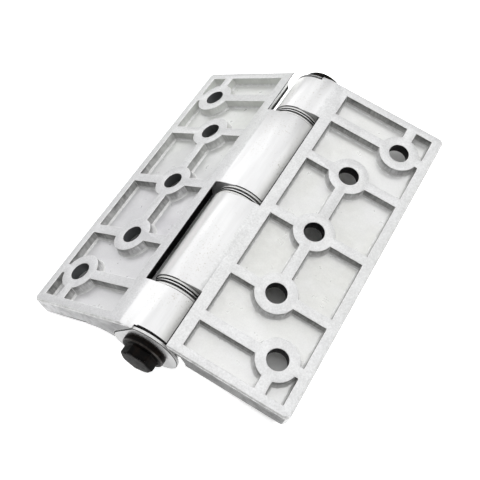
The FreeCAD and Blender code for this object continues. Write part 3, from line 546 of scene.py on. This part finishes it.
def make_lit_feet(name, settings):
    """Pale foot of the pocket walls: a painted highlight where each wall meets the floor, with a mottled
    tone.
    """
    material, tree, shader = new_material(name)
    place = object_place(tree)
    foot_mottle = spots(tree, place, scale=420.0, low=0.3, high=0.7, rough=0.6)
    fill_inputs(tree, shader, {
        "Base Color": blend(tree, foot_mottle, opaque(settings.wear_and_light_metal, 0.88), opaque(settings.dull_metal)),
        "Roughness": blend_values(tree, foot_mottle, 0.5, 0.62),
        "Metallic": 0.25,
    })
    grain = noise(tree, place, scale=1200.0, detail=2.0)
    set_bump(tree, shader, grain, distance=0.05 * MILLIMETRE, strength=0.5)
    return material


def make_edge_wear_and_highlight(name, settings):
    """Brighter metal on the edges, partly wear and partly a painted highlight, with small nicks."""
    material, tree, shader = new_material(name)
    place = object_place(tree)
    wear = spots(tree, place, scale=500.0, low=0.35, high=0.65, rough=0.6)
    fill_inputs(tree, shader, {
        "Base Color": blend(tree, wear, opaque(settings.wear_and_light_metal), opaque(settings.dull_metal)),
        "Roughness": blend_values(tree, wear, 0.42, 0.58),
        "Metallic": 0.4,
    })
    nicks = noise(tree, place, scale=900.0, rough=0.6)
    set_bump(tree, shader, nicks, distance=0.10 * MILLIMETRE, strength=0.6)
    return material


def make_black_steel(name, tone, tint, shine):
    """Black oxide with a thin bloom of another tint and fine unevenness."""
    material, tree, shader = new_material(name)
    place = object_place(tree)
    bloom = spots(tree, place, scale=320.0, low=0.45, high=0.75, detail=4.0, rough=0.6)
    fill_inputs(tree, shader, {
        "Base Color": blend(tree, bloom, opaque(tone), opaque(tint)),
        "Roughness": spots(tree, place, scale=900.0, low=0.3, high=0.7, to_low=0.36, to_high=0.52),
        "Metallic": 0.1,
        "Specular IOR Level": shine,
    })
    set_bump(tree, shader, noise(tree, place, scale=1800.0), distance=0.04 * MILLIMETRE, strength=0.4)
    return material


def make_plain_metal(name, tone, roughness, shine=0.5):
    """Plated, turned or drilled metal with fine unevenness."""
    material, tree, shader = new_material(name)
    place = object_place(tree)
    clouds = spots(tree, place, scale=180.0, low=0.35, high=0.65, detail=4.0, rough=0.6)
    fill_inputs(tree, shader, {
        "Base Color": blend(tree, clouds, opaque(tone), opaque(tone, 0.84)),
        "Roughness": spots(tree, place, scale=700.0, low=0.3, high=0.7, detail=2.0,
                           to_low=roughness - 0.05, to_high=roughness + 0.05),
        "Metallic": 0.6,
        "Specular IOR Level": shine,
    })
    grain = noise(tree, place, scale=2400.0, detail=2.0)
    set_bump(tree, shader, grain, distance=0.03 * MILLIMETRE, strength=0.4)
    return material


def make_acetal(name, tone):
    """Natural off-white bearing plastic, slightly uneven."""
    material, tree, shader = new_material(name)
    place = object_place(tree)
    clouds = spots(tree, place, scale=220.0, low=0.35, high=0.65)
    fill_inputs(tree, shader, {
        "Base Color": blend(tree, clouds, opaque(tone), tinted(tone, 0.97, 0.97, 0.95)),
        "Roughness": spots(tree, place, scale=900.0, low=0.3, high=0.7, detail=2.0,
                           to_low=0.38, to_high=0.5),
    })
    grain = noise(tree, place, scale=2400.0, detail=2.0)
    set_bump(tree, shader, grain, distance=0.02 * MILLIMETRE, strength=0.4)
    return material


def make_shade_and_grease(name, tone):
    """Near-black film with an uneven dull sheen: painted shade in gaps and along edges, with lubricant
    between the rings.
    """
    material, tree, shader = new_material(name)
    film = spots(tree, object_place(tree), scale=600.0, low=0.35, high=0.65)
    fill_inputs(tree, shader, {
        "Base Color": blend(tree, film, opaque(tone), opaque(tone, 2.2)),
        "Roughness": blend_values(tree, film, 0.45, 0.65),
        "Specular IOR Level": 0.06,
    })
    set_bump(tree, shader, film, distance=0.03 * MILLIMETRE, strength=0.4)
    return material


def merged_copy(node):
    """The node's surface as one closed skin, with flat parts as single faces."""
    shell = bmesh.new()
    shell.from_mesh(frame["nodes"][node].data)
    bmesh.ops.remove_doubles(shell, verts=shell.verts, dist=MERGE_DISTANCE)
    bmesh.ops.dissolve_limit(shell, angle_limit=FLAT_ANGLE, verts=shell.verts,
                             edges=shell.edges, use_dissolve_boundaries=False)
    for face in shell.faces:
        face.material_index = 0
    return shell


def cut_faces(shell, place, across):
    """Split the shell's faces where a plane crosses them."""
    everything = shell.verts[:] + shell.edges[:] + shell.faces[:]
    bmesh.ops.bisect_plane(shell, geom=everything, plane_co=place, plane_no=across, dist=CUT_TOUCH)


def as_piece(shell, name, materials):
    """An object made of the shell, with its materials in the order of their slots."""
    bmesh.ops.dissolve_degenerate(shell, dist=SLIVER, edges=shell.edges)
    mesh = bpy.data.meshes.new(name)
    shell.to_mesh(mesh)
    shell.free()
    for material in materials:
        mesh.materials.append(material)
    piece = bpy.data.objects.new(name, mesh)
    bpy.context.scene.collection.objects.link(piece)
    return piece


def settle(piece):
    """Turn what the piece's modifiers make into its own plain mesh."""
    bpy.context.view_layer.update()
    shaped = piece.evaluated_get(bpy.context.evaluated_depsgraph_get())
    mesh = bpy.data.meshes.new_from_object(shaped)
    rough = piece.data
    piece.modifiers.clear()
    piece.data = mesh
    bpy.data.meshes.remove(rough)
    mesh.name = piece.name


def shade_smoothly(piece):
    """Shade the piece's curves smoothly and keep its sharp edges crisp."""
    for face in piece.data.polygons:
        face.use_smooth = True
    piece.data.set_sharp_from_angle(angle=CRISP_ANGLE)


def round_edges(piece, width, edge_slot=0):
    """Soften the piece's sharp edges and shade its curves smoothly."""
    rounding = piece.modifiers.new("edge_rounding", "BEVEL")
    rounding.limit_method = "ANGLE"
    rounding.angle_limit = ROUNDED_ANGLE
    rounding.width = width
    rounding.segments = ROUNDING_STEPS
    rounding.material = edge_slot
    rounding.use_clamp_overlap = False
    settle(piece)
    shade_smoothly(piece)


def pull_back(piece, node, deepest=STRAY):
    """Bring corners that the rounding threw off the node's surface, or below deepest, back onto it."""
    source = frame["nodes"][node].data
    skin = BVHTree.FromPolygons([corner.co for corner in source.vertices],
                                [face.vertices for face in source.polygons])
    for corner in piece.data.vertices:
        nearest, normal, _, distance = skin.find_nearest(corner.co)
        proud = (corner.co - nearest).dot(normal) > 0.0
        if distance > (STRAY if proud else deepest):
            corner.co = nearest


def pin_distance(place):
    """Distance of a place from the pin's axis."""
    spoke = place - PIN
    return math.hypot(spoke.x, spoke.z)


def stand_for(piece, node, body):
    """Let the piece ride on a body in place of a CAD node."""
    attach(piece, body)
    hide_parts(node)


# Material slots of a casting.
SKIN, EDGES, GAP_SHADE, SHADED_END, DRILLED, BARREL, WALLS, LIT_FEET, BOSSES = range(9)


def casting_slot(node, middle, normal):
    """Slot of a casting's face, from its middle and its normal in the leaf's own directions."""
    spoke = Vector((middle.x, 0.0, middle.z))
    outward = normal.dot(spoke.normalized())
    place = Vector((abs(middle.x), middle.y))
    from_hole = min((place - hole).length for hole in SCREW_HOLES)
    in_hole = from_hole < HOLE_RADIUS + SLACK and abs(normal.z) < 0.3
    in_hollow = outward < -0.7 and abs(spoke.length - HOLLOW_RADIUS) < HOLLOW_SLACK
    on_knuckle = outward > 0.5 and spoke.length < CREASE_RADIUS
    on_barrel = spoke.length < BARREL_RADIUS + SLACK
    on_near_end = normal.y < -0.9 and middle.y < -LEAF_END + END_SLACK
    slanted = 0.1 < abs(normal.y) < 0.9 and normal.z > 0.2
    in_pocket = (POCKET_INNER - POCKET_SLACK < place.x < POCKET_OUTER + POCKET_SLACK
                 and abs(middle.y) < POCKET_END + POCKET_SLACK
                 and FLOOR_HEIGHT < middle.z < FACE_HEIGHT)
    steep = abs(normal.z) < 0.5
    level = normal.z >= 0.95
    if in_hole:
        return DRILLED
    if in_hollow:
        # Painted shade: the left leaf's hollow is painted black where it lies in the gap between the
        # leaves.
        painted_black = abs(middle.y) < BLACK_HOLLOW_END or middle.z < 0.5 * FACE_HEIGHT
        return GAP_SHADE if node == "left_leaf" and painted_black else SKIN
    if on_knuckle:
        # Painted shade: a black band at the left leaf's barrel end stands for the dark groove there.
        end_groove = node == "left_leaf" and middle.y < -BARREL_END + GROOVE_WIDTH
        return GAP_SHADE if end_groove and on_barrel else BARREL
    if on_near_end:
        return SHADED_END
    if slanted and abs(middle.y) > LEAF_END - END_EDGE_REACH:
        return EDGES
    if in_pocket and steep:
        return BOSSES if from_hole < BOSS_RADIUS + BOSS_SLACK else WALLS
    # Painted highlight along the foot of each pocket wall.
    if in_pocket and not level:
        return LIT_FEET
    return SKIN


def sort_faces(shell, node):
    """Give each face of a casting the slot of its finish."""
    upright = upright_turn(LEAF_TILT[node])
    tilted = upright.inverted()
    side = math.copysign(1.0, LEAF_TILT[node])
    gap_line = Vector((side * (HOLLOW_EDGE + GAP_LINE_WIDTH), 0.0, 0.0))
    hollow_ends = [end for reach in HOLLOWS[node] for end in reach if abs(end) < BARREL_END]
    cut_faces(shell, (-BARREL_END + GROOVE_WIDTH) * ALONG_PIN, ALONG_PIN)
    cut_faces(shell, PIN + tilted @ gap_line, tilted @ Vector((1.0, 0.0, 0.0)))
    for end in hollow_ends:
        cut_faces(shell, end * ALONG_PIN, ALONG_PIN)
    for face in shell.faces:
        middle = upright @ (face.calc_center_median() - PIN)
        face.material_index = casting_slot(node, middle, upright @ face.normal)


def paint_gap_shade(piece, node):
    """Paint black shade on the knuckles' rounded ends and on the rim's narrow band beside the hollows.
    """
    upright = upright_turn(LEAF_TILT[node])
    inner_radius, outer_radius = KNUCKLE_END_RADII
    for face in piece.data.polygons:
        middle = upright @ (face.center - PIN)
        from_edge = abs(middle.x) - HOLLOW_EDGE
        at_edge = (-GAP_LINE_INWARDS < from_edge < GAP_LINE_WIDTH
                   and middle.z > FACE_HEIGHT - GAP_LINE_DEPTH)
        beside_hollow = any(low < middle.y < high for low, high in HOLLOWS[node])
        on_barrel = inner_radius < math.hypot(middle.x, middle.z) < outer_radius
        knuckle_end = face.material_index == EDGES and on_barrel
        if at_edge and beside_hollow or knuckle_end:
            face.material_index = GAP_SHADE


def leaf_looks(settings):
    """Painted shades, stains and shares in which the finishes of the two leaves differ."""
    return {
        # The rim and floor shares are painted light and shade: the left leaf is a darker copy of the
        # same skin.
        "right_leaf": {
            "hole_shade": settings.hole_shade, "end_shade": settings.end_shade,
            "near_stain": settings.warm_stain, "far_stain": settings.warm_stain,
            "rim_light_share": 1.0, "floor_light_share": 1.13, "paler_share": 0.0,
            "lit_flank_side": -1.0, "flank_start": 4.3 * MILLIMETRE,
        },
        "left_leaf": {
            "hole_shade": settings.pale_hole_shade, "end_shade": settings.pale_end_shade,
            "near_stain": settings.cool_stain, "far_stain": settings.green_stain,
            "rim_light_share": 0.92, "floor_light_share": 1.07, "paler_share": 0.6,
            "lit_flank_side": 1.0, "flank_start": 6.5 * MILLIMETRE,
        },
    }


def leaf_materials(node, settings):
    """The materials that a leaf has to itself, by slot."""
    looks = leaf_looks(settings)[node]
    tilt = LEAF_TILT[node]
    paler_far = {"paler_tone": settings.paler_far_wall, "paler_share": looks["paler_share"]}
    return {
        SKIN: make_cast_metal(node + "_cast_skin", settings, tilt, looks),
        SHADED_END: make_end_shade(node + "_painted_end_shade", looks["end_shade"], tilt),
        # Painted shade on the drilled walls of the screw holes.
        DRILLED: make_plain_metal(node + "_drilled_walls", looks["hole_shade"], roughness=0.5, shine=0.1),
        BARREL: make_barrel_metal(node + "_barrel_satin", settings.barrel_metal, looks),
        WALLS: make_wall_metal(node + "_cast_walls", settings.shaded_wall_metal, tilt, metallic=0.85, **paler_far),
        BOSSES: make_wall_metal(node + "_boss_walls", settings.boss_metal, tilt, metallic=0.3, **paler_far),
    }


class HINGE_OT_castings(bpy.types.Operator):
    """Finish the two ribbed leaves as bare die-cast metal"""

    bl_idname = "hinge.castings"
    bl_label = "Castings"

    def execute(self, context):
        settings = context.scene.hinge_casting
        shared = {
            # Edges: wear with a painted highlight; the gaps get painted shade and the wall feet painted
            # light.
            EDGES: make_edge_wear_and_highlight("edge_wear_and_highlight", settings),
            GAP_SHADE: make_shade_and_grease("painted_gap_shade", settings.gap_shade),
            LIT_FEET: make_lit_feet("painted_light_feet", settings),
        }
        for node, body in LEAF_BODY.items():
            materials = {**shared, **leaf_materials(node, settings)}
            shell = merged_copy(node)
            sort_faces(shell, node)
            piece = as_piece(shell, node + "_casting", [materials[slot] for slot in sorted(materials)])
            round_edges(piece, settings.edge_width, edge_slot=EDGES)
            pull_back(piece, node)
            paint_gap_shade(piece, node)
            stand_for(piece, node, body)
        return {"FINISHED"}


def make_thread_tree(name):
    """Nodes that sweep a ridge along a helix; the helix climbs along Y from the start point."""
    tree = bpy.data.node_groups.new(name, "GeometryNodeTree")
    for label, kind in (("Pitch", "NodeSocketFloat"), ("Turns", "NodeSocketFloat"),
                        ("Ridge radius", "NodeSocketFloat"), ("Ridge height", "NodeSocketFloat"),
                        ("Start", "NodeSocketVector"), ("Finish", "NodeSocketMaterial")):
        tree.interface.new_socket(label, in_out="INPUT", socket_type=kind)
    tree.interface.new_socket("Geometry", in_out="OUTPUT", socket_type="NodeSocketGeometry")
    sizes = add_node(tree, "NodeGroupInput").outputs
    climb = calculate(tree, "MULTIPLY", sizes["Pitch"], sizes["Turns"])
    helix = add_node(tree, "GeometryNodeCurveSpiral",
                     {"Resolution": THREAD_STEPS, "Rotations": sizes["Turns"], "Height": climb,
                      "Start Radius": sizes["Ridge radius"], "End Radius": sizes["Ridge radius"]})
    level = add_node(tree, "GeometryNodeSetCurveNormal", {"Curve": helix.outputs["Curve"]}, mode="Z_UP")
    ridge = add_node(tree, "GeometryNodeCurvePrimitiveCircle",
                     {"Resolution": RIDGE_CORNERS, "Radius": sizes["Ridge height"]})
    swept = add_node(tree, "GeometryNodeCurveToMesh",
                     {"Curve": level.outputs["Curve"], "Profile Curve": ridge.outputs["Curve"],
                      "Fill Caps": True})
    laid = add_node(tree, "GeometryNodeTransform",
                    {"Geometry": swept.outputs["Mesh"], "Translation": sizes["Start"],
                     "Rotation": (math.radians(-90.0), 0.0, 0.0)})
    real = add_node(tree, "GeometryNodeRealizeInstances", {"Geometry": laid.outputs["Geometry"]})
    finish = add_node(tree, "GeometryNodeSetMaterial",
                      {"Geometry": real.outputs["Geometry"], "Material": sizes["Finish"]})
    add_node(tree, "NodeGroupOutput", {"Geometry": finish.outputs["Geometry"]})
    return tree


def set_inputs(modifier, values):
    """Set a node modifier's inputs by the labels in its tree."""
    for item in modifier.node_group.interface.items_tree:
        if item.in_out == "INPUT" and item.name in values:
            modifier[item.identifier] = values[item.name]


def turn_down(shell, start, radius):
    """Bring the bolt past the start down to a radius, as the root of its thread."""
    cut_faces(shell, start * ALONG_PIN, ALONG_PIN)
    for corner in shell.verts:
        if corner.co.y > start + PAST_CUT:
            spoke = Vector((corner.co.x - PIN.x, 0.0, corner.co.z - PIN.z))
            excess = spoke.length - radius
            if excess > 0.0:
                corner.co -= spoke.normalized() * excess


def add_bolt(settings, black, glint, thread_foot):
    """The pin bolt, black all over but for a painted glint on the rounded rim of its flange."""
    shell = merged_copy("pin_bolt")
    turn_down(shell, thread_foot, settings.thread_radius - settings.thread_depth)
    bolt = as_piece(shell, "pin_bolt_blackened", [black, glint])
    round_edges(bolt, settings.bolt_rounding, edge_slot=1)
    pull_back(bolt, "pin_bolt", deepest=BOLT_SINK)
    # Painted glint: only the rounded rim of the flange keeps the brighter finish.
    for face in bolt.data.polygons:
        if pin_distance(face.center) < FLANGE_GLINT_RADIUS:
            face.material_index = 0
    stand_for(bolt, "pin_bolt", FRAME_LEAF)


def add_nut(settings, black):
    """The round nut on the bolt's far end."""
    nut = as_piece(merged_copy("pin_nut"), "pin_nut_blackened", [black])
    round_edges(nut, settings.nut_rounding)
    stand_for(nut, "pin_nut", FRAME_LEAF)


def add_thread(settings, black, thread_foot):
    """The thread that stands out of the nut."""
    _, bolt_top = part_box("pin_bolt")
    length = bolt_top[1] - THREAD_RUNOUT - thread_foot
    thread = as_piece(bmesh.new(), "pin_bolt_thread", [black])
    winding = thread.modifiers.new("winding", "NODES")
    winding.node_group = make_thread_tree("bolt_thread")
    set_inputs(winding, {
        "Pitch": settings.thread_pitch, "Turns": length / settings.thread_pitch,
        "Ridge radius": settings.thread_radius - settings.thread_depth,
        "Ridge height": settings.thread_depth,
        "Start": (PIN.x, thread_foot, PIN.z), "Finish": black,
    })
    settle(thread)
    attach(thread, FRAME_LEAF)


class HINGE_OT_pin_bolt(bpy.types.Operator):
    """Finish the pin bolt with its thread and the nut in black oxide"""

    bl_idname = "hinge.pin_bolt"
    bl_label = "Pin bolt"

    def execute(self, context):
        settings = context.scene.hinge_fasteners
        black = make_black_steel("black_oxide", settings.black_oxide, settings.brown_tint, shine=0.03)
        # The second finish is a painted glint for the flange's rim.
        glint = make_black_steel("flange_glint", settings.brown_tint, settings.flange_glint, shine=0.25)
        _, nut_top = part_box("pin_nut")
        thread_foot = nut_top[1] - THREAD_OVERLAP
        add_bolt(settings, black, glint, thread_foot)
        add_nut(settings, black)
        add_thread(settings, black, thread_foot)
        return {"FINISHED"}


class HINGE_OT_plates(bpy.types.Operator):
    """Finish the lock plate and the washer under the nut in dull zinc"""

    bl_idname = "hinge.plates"
    bl_label = "Plates"

    def execute(self, context):
        settings = context.scene.hinge_fasteners
        zinc = make_plain_metal("dull_zinc", settings.zinc, roughness=0.42)
        # Painted shade along the plates' rounded edges.
        edge_shade = make_shade_and_grease("painted_plate_edge_shade", settings.plate_edge_shade)
        for node, body in (("lock_plate", DOOR_LEAF), ("nut_washer", FRAME_LEAF)):
            shell = merged_copy(node)
            if node == "lock_plate":
                for corner in shell.verts:
                    corner.co.y = min(corner.co.y, -BARREL_END - PLATE_CLEARANCE)
            piece = as_piece(shell, node + "_zinc", [zinc, edge_shade])
            round_edges(piece, settings.plate_rounding, edge_slot=1)
            stand_for(piece, node, body)
        return {"FINISHED"}


def is_ring_outside(face):
    return abs(face.normal.y) < 0.1 and pin_distance(face.calc_center_median()) > RING_OUTSIDE


def mark_ring_edges(shell, width, slot):
    """Give a narrow band at both ends of a ring's outer face, and its chamfers, their own material."""
    outside = [face for face in shell.faces if is_ring_outside(face)]
    heights = [corner.co.y for face in outside for corner in face.verts]
    low, high = min(heights) + width, max(heights) - width
    for height in (low, high):
        cut_faces(shell, height * ALONG_PIN, ALONG_PIN)
    # The bands and chamfers get the dark finish: lubricant and painted shade in the gaps between the
    # rings.
    for face in shell.faces:
        banded = is_ring_outside(face) and not low < face.calc_center_median().y < high
        chamfered = 0.2 < abs(face.normal.y) < 0.95
        if banded or chamfered:
            face.material_index = slot


class HINGE_OT_rings(bpy.types.Operator):
    """Finish the bushes in acetal and the thrust washers in steel, with lubricant and painted shade
    between them
    """

    bl_idname = "hinge.rings"
    bl_label = "Bearing rings"

    def execute(self, context):
        settings = context.scene.hinge_rings
        acetal = make_acetal("natural_acetal", settings.acetal)
        steel = make_plain_metal("turned_steel", settings.washer_steel, roughness=0.35)
        # Lubricant and painted shade for the gaps between the rings.
        grease_and_shade = make_shade_and_grease("grease_and_gap_shade", settings.grease_and_shade)
        members = frame["record"]["behaviour"]["bodies"]
        for node in frame["nodes"]:
            if node.endswith("_bush"):
                finish, slot = acetal, "bearing_rings"
            elif node.startswith("thrust_washer"):
                finish, slot = steel, "thrust_washers"
            else:
                continue
            shell = merged_copy(node)
            mark_ring_edges(shell, settings.grease_and_shade_band, slot=1)
            piece = as_piece(shell, node + "_ring", [finish, grease_and_shade])
            shade_smoothly(piece)
            body = next(name for name, nodes in members.items() if node in nodes)
            stand_for(piece, node, body)
        return {"FINISHED"}


def table_light(tree, glow):
    """Strength of the table's own light: the full glow round the hinge and none under it."""
    axes = split_axes(tree, object_place(tree))
    sideways = calculate(tree, "ABSOLUTE", calculate(tree, "SUBTRACT", axes["X"], SHADE_MIDDLE))
    lengthways = calculate(tree, "ABSOLUTE", axes["Y"])
    lean = calculate(tree, "MULTIPLY", sideways, SHADE_LEAN)
    aside = remap(tree, sideways, *SHADE_SIDES)
    beyond = remap(tree, calculate(tree, "SUBTRACT", lengthways, lean), *SHADE_ENDS)
    lit = calculate(tree, "MAXIMUM", aside, beyond)
    return calculate(tree, "MULTIPLY", lit, glow)


def make_pale_paper(name, settings):
    """Faintly uneven white paper that glows round the hinge."""
    material, tree, shader = new_material(name)
    tone = settings.floor_paint
    clouds = noise(tree, object_place(tree), scale=3.0, detail=2.0)
    fill_inputs(tree, shader, {
        "Base Color": blend(tree, clouds, opaque(tone), opaque(tone, 0.98)),
        "Roughness": 0.9,
        "Emission Color": WHITE,
        "Emission Strength": table_light(tree, settings.table_glow),
    })
    return material


def add_floor(settings):
    plane = bpy.data.meshes.new("studio_floor")
    corners = [(-FLOOR_HALF, -FLOOR_HALF, 0.0), (FLOOR_HALF, -FLOOR_HALF, 0.0),
               (FLOOR_HALF, FLOOR_HALF, 0.0), (-FLOOR_HALF, FLOOR_HALF, 0.0)]
    plane.from_pydata(corners, [], [(0, 1, 2, 3)])
    plane.materials.append(make_pale_paper("pale_paper", settings))
    floor = bpy.data.objects.new("studio_floor", plane)
    bpy.context.scene.collection.objects.link(floor)


def add_room(settings):
    """Even light from all round, in a room that looks white to the camera."""
    world = bpy.data.worlds.new("studio_room")
    world.use_nodes = True
    tree = world.node_tree
    room = next(node for node in tree.nodes if node.type == "BACKGROUND")
    seen = add_node(tree, "ShaderNodeLightPath").outputs["Is Camera Ray"]
    fill_inputs(tree, room, {
        "Color": WHITE,
        "Strength": blend_values(tree, seen, settings.room_strength, 1.0),
    })
    bpy.context.scene.world = world


def add_area_light(name, place, size, watts):
    lamp = bpy.data.lights.new(name, "AREA")
    lamp.shape = "RECTANGLE"
    lamp.size, lamp.size_y = size
    lamp.energy = watts
    holder = bpy.data.objects.new(name, lamp)
    holder.location = place
    holder.rotation_euler = (LIGHT_AIM - place).to_track_quat("-Z", "Y").to_euler()
    bpy.context.scene.collection.objects.link(holder)


def add_camera(settings):
    """The camera, placed and turned as the photograph's was."""
    lens = bpy.data.cameras.new("photo_camera")
    lens.sensor_fit = "HORIZONTAL"
    lens.sensor_width = SENSOR_WIDTH
    lens.lens = settings.lens
    lens.clip_start = CAMERA_NEAR
    camera = bpy.data.objects.new("photo_camera", lens)
    turn = Matrix((CAMERA_RIGHT, CAMERA_UP, CAMERA_BACK)).transposed().to_4x4()
    camera.matrix_world = Matrix.Translation(CAMERA_PLACE + PIN) @ turn
    bpy.context.scene.collection.objects.link(camera)
    bpy.context.scene.camera = camera


class HINGE_OT_stage(bpy.types.Operator):
    """Set up the pale floor, the soft studio lights and the camera"""

    bl_idname = "hinge.stage"
    bl_label = "Stage"

    def execute(self, context):
        settings = context.scene.hinge_studio
        context.scene.view_settings.view_transform = "Standard"
        add_floor(settings)
        add_room(settings)
        add_area_light("key_light", KEY_LIGHT_PLACE, KEY_LIGHT_SIZE, settings.key_watts)
        add_area_light("side_light", SIDE_LIGHT_PLACE, SIDE_LIGHT_SIZE, settings.side_watts)
        add_camera(settings)
        return {"FINISHED"}


OPERATORS = (
    HINGE_OT_castings,
    HINGE_OT_pin_bolt,
    HINGE_OT_plates,
    HINGE_OT_rings,
    HINGE_OT_stage,
)


class HINGE_PT_panel(bpy.types.Panel):
    """Buttons for each step of the hinge's finish"""

    bl_idname = "HINGE_PT_panel"
    bl_label = "Cold room door hinge"
    bl_space_type = "VIEW_3D"
    bl_region_type = "UI"
    bl_category = "Hinge"

    def draw(self, context):
        for operator in OPERATORS:
            self.layout.operator(operator.bl_idname)


GROUPS = {
    "hinge_casting": CastingSettings,
    "hinge_fasteners": FastenerSettings,
    "hinge_rings": RingSettings,
    "hinge_studio": StudioSettings,
}


def register():
    for name, group in GROUPS.items():
        bpy.utils.register_class(group)
        setattr(bpy.types.Scene, name, bpy.props.PointerProperty(type=group))
    for operator in OPERATORS:
        bpy.utils.register_class(operator)
    bpy.utils.register_class(HINGE_PT_panel)


def unregister():
    bpy.utils.unregister_class(HINGE_PT_panel)
    for operator in reversed(OPERATORS):
        bpy.utils.unregister_class(operator)
    for name, group in reversed(list(GROUPS.items())):
        delattr(bpy.types.Scene, name)
        bpy.utils.unregister_class(group)


def main():
    register()
    bpy.ops.hinge.castings()
    bpy.ops.hinge.pin_bolt()
    bpy.ops.hinge.plates()
    bpy.ops.hinge.rings()
    bpy.ops.hinge.stage()


if __name__ == "__main__":
    main()
